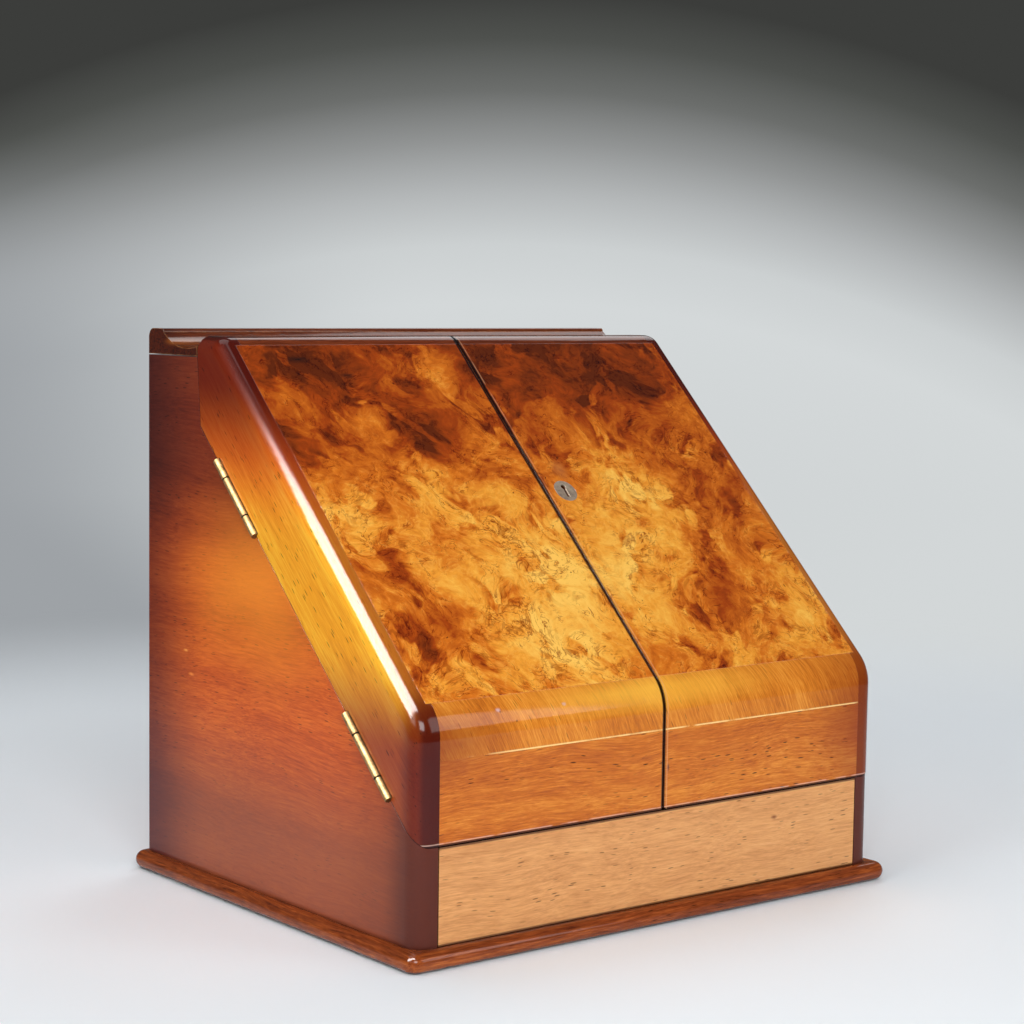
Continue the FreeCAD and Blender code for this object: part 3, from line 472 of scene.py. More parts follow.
@dataclass(frozen=True)
class Timber:
    """A straight-grained wood with its polish, pores and wear, and painted shade in its joints and gaps."""

    name: str
    dark: Colour
    body: Colour
    light: Colour
    grain: Grain = Grain.ACROSS
    stretch: float = 18.0
    bands: float = 36.0
    streaks: float = 560.0
    wave: float = 0.010
    pores: float = 0.7
    contrast: float = 1.0
    polish: Polish = Polish()
    edge: Colour = shade(236, 168, 98)
    edge_share: float = 0.0
    grime: Colour = shade(36, 12, 6)
    grime_share: float = 0.8
    wraps: bool = False
    mitre: float | None = None
    marks: tuple[Spot | Line, ...] = ()

    def place(self, graph: Graph) -> Socket:
        """Coordinates with X along the grain.

        Args:
            graph: The tree.

        Returns:
            The coordinates, which turn at the mitres where the piece has some.
        """
        where = graph.place(self.grain.value, scale=(1.0, 0.03, 1.0) if self.wraps else (1.0, 1.0, 1.0))
        if self.mitre is None:
            return where
        plain = graph.place()
        beyond = graph.maths("SUBTRACT",
                             graph.maths("ABSOLUTE", graph.part(plain, "X")),
                             graph.maths("ABSOLUTE", graph.part(plain, "Y")))
        joint = graph.node("Mix", data_type="VECTOR")
        graph.feed(joint.inputs[0], graph.maths("GREATER_THAN", beyond, self.mitre))
        graph.feed(joint.inputs[4], where)
        graph.feed(joint.inputs[5], graph.place(Grain.FRONT_TO_BACK.value))
        return joint.outputs[1]

    def make(self) -> bpy.types.Material:
        """Build the material."""
        graph = Graph(self.name)
        where = self.place(graph)
        bent = graph.warp(where, 11.0, self.wave)
        along = graph.vector("MULTIPLY", bent, (1.0 / self.stretch, 1.0, 1.0))
        band = graph.noise(along, self.bands, 3.0, 0.5, 0.3)
        streak = graph.noise(along, self.streaks, 3.0, 0.65)
        fibre = graph.noise(along, self.streaks * 3.0, 2.0, 0.6)
        tone = graph.maths("ADD", graph.maths("MULTIPLY", band, 0.36), graph.maths("MULTIPLY", streak, 0.38))
        tone = graph.maths("ADD", tone, graph.maths("MULTIPLY", fibre, 0.26))
        spread = 0.14 / self.contrast
        stops = ((0.50 - spread, self.dark), (0.50, self.body), (0.50 + spread, self.light))
        colour = graph.ramp(tone, stops)
        pore_field = graph.span(graph.noise(along, self.bands * 2.0, 2.0), 0.36, 0.60)
        vessel = graph.cells(graph.vector("MULTIPLY", bent, (0.13, 1.0, 1.0)), 640.0)
        pore = graph.span(vessel.outputs["Distance"], 0.26, 0.14)
        chosen = graph.span(graph.part(vessel.outputs["Color"], "X"), 0.5, 0.56)
        pore = graph.maths("MULTIPLY", graph.maths("MULTIPLY", pore, chosen), pore_field)
        pore = graph.maths("MULTIPLY", pore, self.pores)
        colour = graph.mix(pore, colour, self.grime)
        for mark in self.marks:
            colour = mark.lay(graph, colour)
        if self.edge_share:
            worn = graph.maths("MULTIPLY", graph.bright_edges(1.2 * MM), self.edge_share)
            worn = graph.maths("MULTIPLY", worn, graph.span(graph.noise(where, 90.0, 4.0, 0.6), 0.3, 0.62))
            colour = graph.mix(worn, colour, self.edge)
        # Painted shade in the joints and gaps.
        colour = graph.mix(graph.maths("MULTIPLY", graph.corners(4 * MM), self.grime_share), colour, self.grime)
        normal = graph.soft_edges(self.polish.arris)
        normal = graph.relief(graph.noise(where, 34.0, 2.0), 0.05 * MM, normal)
        normal = graph.relief(graph.maths("SUBTRACT", 1.0, pore), 0.02 * MM, normal)
        graph.surface(colour, self.polish.shine(graph, where), normal)
        return graph.material


@dataclass(frozen=True)
class Zone:
    """A lighter or darker area of the burr, in metres across and up the slope: part figure, part painted light
    and shade.
    """

    across: float
    up: float
    radius: float
    amount: float


@dataclass(frozen=True)
class Burr:
    """Burr walnut veneer: gold and red clouds, clusters of eyes, dark hair lines and pin knots, with painted
    shade in its joints and gaps.
    """

    name: str
    foot: Triple
    length: float
    zones: tuple[Zone, ...]
    marks: tuple[Spot | Line, ...] = ()
    polish: Polish = Polish(base_rough=0.38)
    deep: Colour = shade(92, 34, 8)
    red: Colour = shade(156, 62, 12)
    orange: Colour = shade(208, 110, 26)
    gold: Colour = shade(234, 154, 50)
    pale: Colour = shade(248, 192, 88)
    hair: Colour = shade(84, 28, 8)
    line: Colour = (0.42, 0.22, 0.16, 1.0)
    lean: float = 0.6

    def slope_place(self, graph: Graph) -> Socket:
        """Coordinates across the slope, up it from the burr's foot, and out of it."""
        _, foot_y, foot_z = self.foot
        up = foot_y * math.cos(SLOPE) + foot_z * math.sin(SLOPE)
        out = foot_z * math.cos(SLOPE) - foot_y * math.sin(SLOPE)
        return graph.place((-SLOPE, 0.0, 0.0), (0.0, -up, -out))

    def clouds(self, graph: Graph, where: Socket, flow: Socket) -> Socket:
        """Large light and dark areas, part figure and part painted light and shade, darker towards the top of the
        slope.

        Args:
            graph: The tree.
            where: Slope coordinates.
            flow: The same, gently pushed about.

        Returns:
            A tone about 0.5.
        """
        tone = graph.maths("ADD", graph.maths("MULTIPLY", graph.noise(flow, 20.0, 3.0, 0.55, 0.5), 0.55), 0.27)
        for zone in self.zones:
            gap = graph.node("VectorMath", operation="DISTANCE")
            graph.feed(gap.inputs[0], flow)
            graph.feed(gap.inputs[1], (zone.across, zone.up, 0.0))
            near = graph.span(gap.outputs["Value"], zone.radius, 0.0)
            tone = graph.maths("ADD", tone, graph.maths("MULTIPLY", near, zone.amount))
        # Darker towards the top of the slope: partly the wood's own colour, partly painted shade.
        high = graph.span(graph.part(where, "Y"), self.length * 0.30, self.length * 1.06)
        return graph.maths("SUBTRACT", tone, graph.maths("MULTIPLY", high, 0.25))

    def curls(self, graph: Graph, where: Socket, scale: float, turns: float) -> Socket:
        """Thin lines that curl round the eyes of the burr.

        Args:
            graph: The tree.
            where: Pushed slope coordinates.
            scale: Eyes per metre.
            turns: Lines between a low and a high place.

        Returns:
            A wave from -1 to 1 across the lines.
        """
        height = graph.noise(where, scale, 3.0, 0.55, 0.6)
        return graph.maths("SINE", graph.maths("MULTIPLY", height, turns * math.tau))

    def hairs(self, graph: Graph, where: Socket, scale: float, width: float) -> Socket:
        """Single dark hair lines, along one contour of a noise.

        Args:
            graph: The tree.
            where: Pushed slope coordinates.
            scale: Waves per metre.
            width: Width of the lines, in the noise's own values.

        Returns:
            Share from 0 to 1.
        """
        contour = graph.maths("SUBTRACT", graph.noise(where, scale, 4.0, 0.6, 0.8), 0.5)
        line = graph.span(graph.maths("ABSOLUTE", contour), width, 0.0)
        return graph.maths("MULTIPLY", line, graph.span(graph.noise(where, scale * 0.7, 2.0), 0.46, 0.62))

    def make(self) -> bpy.types.Material:
        """Build the material."""
        graph = Graph(self.name)
        where = self.slope_place(graph)
        flow = graph.warp(where, 15.0, 0.040)
        curl = graph.warp(flow, 52.0, 0.013)
        frill = graph.warp(curl, 150.0, 0.004)
        tone = self.clouds(graph, where, flow)
        cluster = graph.span(graph.noise(flow, 30.0, 3.0, 0.55), 0.44, 0.60)
        leaning = graph.node("VectorRotate", rotation_type="Z_AXIS")
        graph.feed(leaning.inputs["Vector"], frill)
        graph.feed(leaning.inputs["Angle"], self.lean)
        leaf_place = graph.vector("MULTIPLY", leaning.outputs[0], (1.0, 0.45, 1.0))
        eye = graph.cells(leaf_place, 105.0, 0.25)
        tint = graph.maths("SUBTRACT", graph.part(eye.outputs["Color"], "X"), 0.62)
        busy_leaf = graph.maths("ADD", graph.maths("MULTIPLY", cluster, 0.75), 0.25)
        blotch = graph.maths("MULTIPLY", graph.maths("MULTIPLY", tint, 0.34), busy_leaf)
        figure = graph.maths("SUBTRACT", graph.noise(curl, 75.0, 4.0, 0.62, 0.8), 0.5)
        mottle = graph.maths("SUBTRACT", graph.noise(frill, 260.0, 4.0, 0.7), 0.5)
        tone = graph.maths("ADD", tone, graph.maths("MULTIPLY", figure, 0.30))
        tone = graph.maths("ADD", tone, graph.maths("MULTIPLY", mottle, 0.26))
        tone = graph.maths("ADD", tone, blotch)
        tone = graph.maths("SUBTRACT", tone, graph.maths("MULTIPLY", cluster, 0.05))
        colour = graph.ramp(tone, (
            (0.10, self.deep),
            (0.30, self.red),
            (0.48, self.orange),
            (0.64, self.gold),
            (0.84, self.pale),
        ))
        wave = self.curls(graph, curl, 88.0, 3.5)
        fine = self.curls(graph, frill, 150.0, 3.0)
        busy = graph.maths("ADD", graph.maths("MULTIPLY", cluster, 0.46), 0.12)
        lines = graph.maths("MULTIPLY", graph.span(wave, 0.35, 1.0), busy)
        colour = graph.mix(lines, colour, self.line, "MULTIPLY")
        fair = graph.span(tone, 0.38, 0.60)
        light_curl = graph.maths("MULTIPLY", graph.span(wave, -0.7, -1.0), fair)
        colour = graph.mix(graph.maths("MULTIPLY", light_curl, 0.2), colour, self.pale)
        dark_curl = graph.maths("MULTIPLY", graph.span(fine, 0.78, 1.0), cluster)
        colour = graph.mix(graph.maths("MULTIPLY", dark_curl, 0.5), colour, self.line, "MULTIPLY")
        colour = graph.mix(self.hairs(graph, curl, 40.0, 0.012), colour, self.line, "MULTIPLY")
        colour = graph.mix(self.hairs(graph, frill, 95.0, 0.02), colour, self.line, "MULTIPLY")
        streaky = graph.vector("MULTIPLY", leaning.outputs[0], (1.0, 0.30, 1.0))
        feather = graph.span(graph.noise(streaky, 230.0, 4.0, 0.7, 1.5), 0.56, 0.76)
        feather = graph.maths("MULTIPLY", feather, graph.span(tone, 0.28, 0.58))
        colour = graph.mix(graph.maths("MULTIPLY", feather, 0.34), colour, self.pale)
        bead = graph.cells(frill, 150.0)
        knot = graph.span(bead.outputs["Distance"], 0.13, 0.06)
        chosen = graph.span(graph.part(bead.outputs["Color"], "Y"), 0.86, 0.88)
        colour = graph.mix(graph.maths("MULTIPLY", knot, chosen), colour, self.hair)
        fleck = graph.span(graph.noise(frill, 1500.0, 2.0, 0.6), 0.58, 0.76)
        colour = graph.mix(graph.maths("MULTIPLY", fleck, 0.25), colour, self.red)
        for mark in self.marks:
            colour = mark.lay(graph, colour)
        # Painted shade in the joints and gaps round the burr.
        colour = graph.mix(graph.maths("MULTIPLY", graph.corners(3 * MM), 0.7), colour, self.hair)
        normal = graph.soft_edges(self.polish.arris)
        normal = graph.relief(graph.noise(where, 30.0, 2.0), 0.08 * MM, normal)
        normal = graph.relief(mottle, 0.010 * MM, normal)
        graph.surface(colour, self.polish.shine(graph, where), normal)
        return graph.material


@dataclass(frozen=True)
class Metal:
    """Brass or brassed steel: bright where rubbed, dull and dark in the corners."""

    name: str
    bright: Colour
    dull: Colour
    tarnish: Colour
    dirt: Colour = shade(22, 16, 10)
    rough: float = 0.26
    rough_more: float = 0.2
    tarnish_share: float = 0.3
    brushed: Grain = Grain.ACROSS
    joints: tuple[float, ...] = ()
    joint_half: float = 0.8 * MM
    barrel: tuple[float, float] = (188.2 * MM, 188.8 * MM)

    def make(self) -> bpy.types.Material:
        """Build the material."""
        graph = Graph(self.name)
        where = graph.place(self.brushed.value)
        patches = graph.noise(where, 150.0, 5.0, 0.65)
        along = graph.vector("MULTIPLY", where, (0.08, 1.0, 1.0))
        scratch = graph.noise(along, 2600.0, 3.0, 0.6)
        colour = graph.mix(graph.span(patches, 0.30, 0.72), self.bright, self.dull)
        old = graph.maths("MAXIMUM", graph.corners(1.6 * MM), graph.span(patches, 0.58, 0.8))
        colour = graph.mix(graph.maths("MULTIPLY", old, self.tarnish_share), colour, self.tarnish)
        wear_and_highlight = graph.maths("MULTIPLY", graph.bright_edges(0.5 * MM), 0.6)
        colour = graph.mix(wear_and_highlight, colour, self.bright)
        if self.joints:
            up = graph.part(graph.place(Grain.UP_THE_SLOPE.value), "X")
            outside = graph.span(graph.maths("ABSOLUTE", graph.part(graph.place(), "X")), *self.barrel)
            for level in self.joints:
                gap = graph.maths("ABSOLUTE", graph.maths("SUBTRACT", up, level))
                dirt = graph.maths("MULTIPLY", graph.span(gap, self.joint_half, self.joint_half / 2), outside)
                colour = graph.mix(dirt, colour, self.dirt)
        rough = graph.maths("ADD", graph.maths("MULTIPLY", patches, self.rough_more), self.rough)
        normal = graph.relief(scratch, 0.006 * MM, graph.soft_edges(0.25 * MM))
        graph.surface(colour, {"Metallic": 1.0, "Roughness": rough}, normal)
        return graph.material


@dataclass(frozen=True)
class Glass:
    """Thick clear pressed glass with a faint ripple and ink stains."""

    name: str
    tint: Colour = (0.90, 0.96, 0.94, 1.0)
    darken_to: Colour = shade(40, 44, 70)

    def make(self) -> bpy.types.Material:
        """Build the material."""
        graph = Graph(self.name)
        where = graph.place()
        low = graph.span(graph.noise(where, 90.0, 4.0, 0.6), 0.60, 0.74)
        colour = graph.mix(graph.maths("MULTIPLY", low, 0.35), self.tint, self.darken_to)
        normal = graph.relief(graph.noise(where, 70.0, 2.0), 0.15 * MM, graph.soft_edges(0.8 * MM))
        smudge = graph.span(graph.noise(where, 160.0, 3.0), 0.5, 0.9)
        rough = graph.maths("ADD", graph.maths("MULTIPLY", smudge, 0.08), 0.02)
        gloss = {"Roughness": rough, "IOR": 1.5, "Transmission Weight": 1.0}
        graph.surface(colour, gloss, normal)
        return graph.material


@dataclass(frozen=True)
class Paper:
    """The studio's seamless backdrop: pale below, dim high up, with painted shadow on its left."""

    name: str
    floor: Colour
    levels: tuple[tuple[float, Colour], ...]
    ahead: Triple
    aside: Colour
    left: Colour
    droop: float = 5.0
    most_off: float = 0.05
    glow_from: float = 0.65
    glow_to: float = 1.35

    def make(self) -> bpy.types.Material:
        """Build the material."""
        graph = Graph(self.name)
        where = graph.place()
        height = graph.part(where, "Z")
        flat = graph.vector("MULTIPLY", where, (1.0, 1.0, 0.0))
        level = graph.node("VectorMath", operation="NORMALIZE")
        graph.feed(level.inputs[0], flat)
        behind = graph.node("VectorMath", operation="DOT_PRODUCT")
        graph.feed(behind.inputs[0], level.outputs[0])
        graph.feed(behind.inputs[1], self.ahead)
        off = graph.maths("SUBTRACT", 1.0, behind.outputs["Value"])
        off = graph.maths("MINIMUM", off, self.most_off)
        raised = graph.maths("ADD", height, graph.maths("MULTIPLY", off, self.droop))
        top = self.levels[-1][0]
        stops = [(level_z / top, colour) for level_z, colour in self.levels]
        wall = graph.ramp(graph.maths("DIVIDE", raised, top), stops)
        across, along, _ = self.ahead
        leftward = graph.node("VectorMath", operation="DOT_PRODUCT")
        graph.feed(leftward.inputs[0], level.outputs[0])
        graph.feed(leftward.inputs[1], (-along, across, 0.0))
        # Painted shadow on the left of the backdrop, lower down.
        dim = graph.maths("MULTIPLY", graph.span(leftward.outputs["Value"], 0.045, 0.35),
                          graph.span(height, 0.70, 0.22))
        wall = graph.mix(dim, wall, self.left)
        path = graph.node("LightPath")
        away = graph.maths("MULTIPLY", graph.span(behind.outputs["Value"], 0.88, 0.60),
                           path.outputs["Is Glossy Ray"])
        wall = graph.mix(away, wall, self.aside)
        radius = graph.node("VectorMath", operation="LENGTH")
        graph.feed(radius.inputs[0], flat)
        grain = graph.maths("MULTIPLY", graph.noise(where, 3.0, 2.0), 0.04)
        floor = graph.mix(grain, self.floor, wall)
        paper = graph.node("BsdfDiffuse")
        graph.feed(paper.inputs["Color"], floor)
        graph.feed(paper.inputs["Normal"], graph.relief(graph.noise(where, 900.0, 2.0), 0.02 * MM))
        light = graph.node("Emission")
        graph.feed(light.inputs["Color"], wall)
        seen = graph.maths("MAXIMUM", path.outputs["Is Camera Ray"], path.outputs["Is Glossy Ray"])
        seen = graph.maths("MAXIMUM", seen, path.outputs["Is Transmission Ray"])
        glowing = graph.span(radius.outputs["Value"], self.glow_from, self.glow_to)
        share = graph.maths("MULTIPLY", seen, glowing)
        blend = graph.node("MixShader")
        graph.feed(blend.inputs[0], share)
        graph.feed(blend.inputs[1], paper.outputs[0])
        graph.feed(blend.inputs[2], light.outputs[0])
        graph.feed(graph.node("OutputMaterial").inputs["Surface"], blend.outputs[0])
        return graph.material


def dress(material: bpy.types.Material, *nodes: str) -> None:
    """Give CAD nodes a finish and report each.

    Args:
        material: The finish.
        nodes: Names of the nodes.
    """
    for name in nodes:
        piece = frame["nodes"][name]
        for place in piece.material_slots:
            place.material = material
        LOG.info("%s: %s", name, material.name)


def stretches(node: str, direction: Vector, gap: float = 1 * MM) -> list[tuple[float, float]]:
    """Stretches of a line along which a CAD node has faces.

    Args:
        node: The node.
        direction: Direction of the line.
        gap: Shortest break between two stretches.

    Returns:
        The low and high end of each stretch, in order.
    """
    mesh = frame["nodes"][node].data
    faces = []
    for polygon in mesh.polygons:
        reaches = [direction.dot(mesh.vertices[index].co) for index in polygon.vertices]
        faces.append((min(reaches), max(reaches)))
    faces.sort()
    found = [list(faces[0])]
    for low, high in faces:
        if low - found[-1][1] > gap:
            found.append([low, high])
        found[-1][1] = max(found[-1][1], high)
    return [(low, high) for low, high in found]


def add_piece(name: str, mesh: bmesh.types.BMesh, body: str,
              materials: Iterable[bpy.types.Material]) -> bpy.types.Object:
    """Make an object of a mesh, in place, and let it ride on a body.

    Args:
        name: Name of the piece.
        mesh: Its shape in the frame, freed here.
        body: The CAD body that carries it.
        materials: Its finishes in order.

    Returns:
        The object.
    """
    data = bpy.data.meshes.new(name)
    bmesh.ops.recalc_face_normals(mesh, faces=mesh.faces)
    mesh.to_mesh(data)
    mesh.free()
    piece = bpy.data.objects.new(name, data)
    bpy.context.scene.collection.objects.link(piece)
    for material in materials:
        data.materials.append(material)
    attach(piece, body)
    LOG.info("%s rides on %s", name, body)
    return piece


@dataclass(frozen=True)
class Screw:
    """Slotted countersunk wood screw, of which the head shows."""

    radius: float = 2.5 * MM
    proud: float = 0.13 * MM
    ease: float = 0.1 * MM
    slot: float = 0.75 * MM
    slot_depth: float = 0.09 * MM
    sink: float = 1.0 * MM
    segments: int = 28

    def add(self, mesh: bmesh.types.BMesh, at: Vector, out: Vector, turn: float) -> None:
        """Add one head to a mesh.

        Args:
            mesh: Mesh of the screws of one leaf or plate.
            at: Middle of the head on the metal's face.
            out: Direction that the head faces.
            turn: Turn of the slot in degrees.
        """
        disc = bmesh.ops.create_circle(
            mesh, cap_ends=True, radius=self.radius - self.ease, segments=self.segments
        )["verts"]
        rim = [edge for edge in mesh.edges if edge.verts[0] in disc and edge.verts[1] in disc]
        wall = bmesh.ops.extrude_edge_only(mesh, edges=rim)["geom"]
        lower = [item for item in wall if isinstance(item, bmesh.types.BMVert)]
        bmesh.ops.scale(mesh, vec=(self.radius / (self.radius - self.ease),) * 3, verts=lower)
        bmesh.ops.translate(mesh, vec=(0.0, 0.0, -self.ease), verts=lower)
        skirt = [item for item in wall if isinstance(item, bmesh.types.BMEdge) and item.is_boundary]
        cone = bmesh.ops.extrude_edge_only(mesh, edges=skirt)["geom"]
        foot = [item for item in cone if isinstance(item, bmesh.types.BMVert)]
        bmesh.ops.scale(mesh, vec=(0.55, 0.55, 1.0), verts=foot)
        bmesh.ops.translate(mesh, vec=(0.0, 0.0, -self.sink), verts=foot)
        head = disc + lower + foot
        top = [face for face in mesh.faces if all(vertex in disc for vertex in face.verts)]
        for side in (-1.0, 1.0):
            geometry = top + [edge for face in top for edge in face.edges]
            cut = bmesh.ops.bisect_plane(
                mesh,
                geom=list(dict.fromkeys(geometry)),
                plane_co=(side * self.slot / 2, 0.0, 0.0),
                plane_no=(1.0, 0.0, 0.0),
            )
            top = [item for item in cut["geom"] if isinstance(item, bmesh.types.BMFace)]
            head += [item for item in cut["geom_cut"] if isinstance(item, bmesh.types.BMVert)]
        middle = [face for face in top if abs(face.calc_center_median().x) < self.slot / 2]
        sunk = bmesh.ops.extrude_face_region(mesh, geom=middle)["geom"]
        floor = [item for item in sunk if isinstance(item, bmesh.types.BMVert)]
        bmesh.ops.translate(mesh, vec=(0.0, 0.0, -self.slot_depth), verts=floor)
        for item in sunk:
            if isinstance(item, bmesh.types.BMFace):
                item.material_index = 1
        bmesh.ops.delete(mesh, geom=middle, context="FACES_ONLY")
        head += floor
        place = Matrix.Translation(at + out * self.proud) @ out.to_track_quat("Z", "X").to_matrix().to_4x4()
        spun = place @ Matrix.Rotation(math.radians(turn), 4, "Z")
        bmesh.ops.transform(mesh, matrix=spun, verts=list(dict.fromkeys(head)))


@dataclass(frozen=True)
class Carcass:
    """Side boards, back, cabinet floor, lid well board and plinth."""

    scratch: Triple = (-190 * MM, 105 * MM, 155 * MM)
    low_scratch: Triple = (-190 * MM, 98 * MM, 140 * MM)

    def patina(self, side: Side) -> tuple[Spot | Line, ...]:
        """Painted light and shade on a side board.

        Args:
            side: The side board.

        Returns:
            The marks, from the widest to the smallest.
        """
        face = side.value * 190 * MM
        return (
            # A painted pool of light in the middle, painted shade at the top, at the back and along the front
            # edge, and a duller, greyer band near the foot.
            Spot((face, 15 * MM, 212 * MM), (0.05, 0.12, 0.09), shade(244, 142, 38), 0.72, 0.4),
            darken_to("Z", 366 * MM, 160 * MM, (0.33, 0.25, 0.6), 0.5),
            Line("Z", 0.0, 130 * MM, shade(140, 80, 58), 0.7, 0.65, 0.0),
            darken_to("Y", 158 * MM, 85 * MM, (0.33, 0.25, 0.6)),
            darken_to("Y", -150 * MM, 95 * MM, (0.66, 0.60, 0.6), 1.0, ("Z", 210 * MM, 140 * MM)),
            Line("Y", -158 * MM, 42 * MM, shade(76, 30, 22), 0.85, 0.8, 0.0),
        )

    def dress(self) -> None:
        """Polish the carcass."""
        mahogany = dict(
            dark=shade(158, 56, 12),
            body=shade(200, 84, 20),
            light=shade(226, 110, 30),
            grain=Grain.FRONT_TO_BACK,
            streaks=700.0,
            wave=0.016,
            polish=Polish(0.5, 0.42, 0.12),
        )
        nick = Spot(self.scratch, (3 * MM, 4 * MM, 1.2 * MM), shade(250, 170, 80), 0.8, 0.3)
        low_nick = Spot(self.low_scratch, (3 * MM, 5 * MM, 1.5 * MM), shade(250, 150, 60), 0.7, 0.3)
        left = Timber("case_side", marks=(*self.patina(Side.LEFT), nick, low_nick), **mahogany)
        dress(left.make(), "left_side")
        right = Timber("case_side_right", marks=self.patina(Side.RIGHT), **mahogany)
        dress(right.make(), "right_side")
        mahogany["grain"] = Grain.ACROSS
        dress(Timber("case_back", **mahogany).make(), "back_board")
        inside = Timber(
            "inside_board",
            shade(122, 66, 30),
            shade(166, 100, 52),
            shade(196, 130, 74),
            Grain.ACROSS,
            polish=Polish(0.35, 0.5, 0.25),
        )
        dress(inside.make(), "cabinet_floor")
        well = Timber(
            "well_board",
            shade(96, 40, 16),
            shade(146, 72, 30),
            shade(178, 98, 46),
            Grain.UPRIGHT,
            polish=Polish(0.5, 0.5, 0.2),
        )
        dress(well.make(), "lid_well_board")
        plinth = Timber(
            "plinth_board",
            shade(80, 30, 12),
            shade(138, 64, 26),
            shade(186, 100, 44),
            Grain.ACROSS,
            mitre=37 * MM,
            edge=shade(238, 176, 110),
            edge_share=0.6,
        )
        dress(plinth.make(), "plinth")


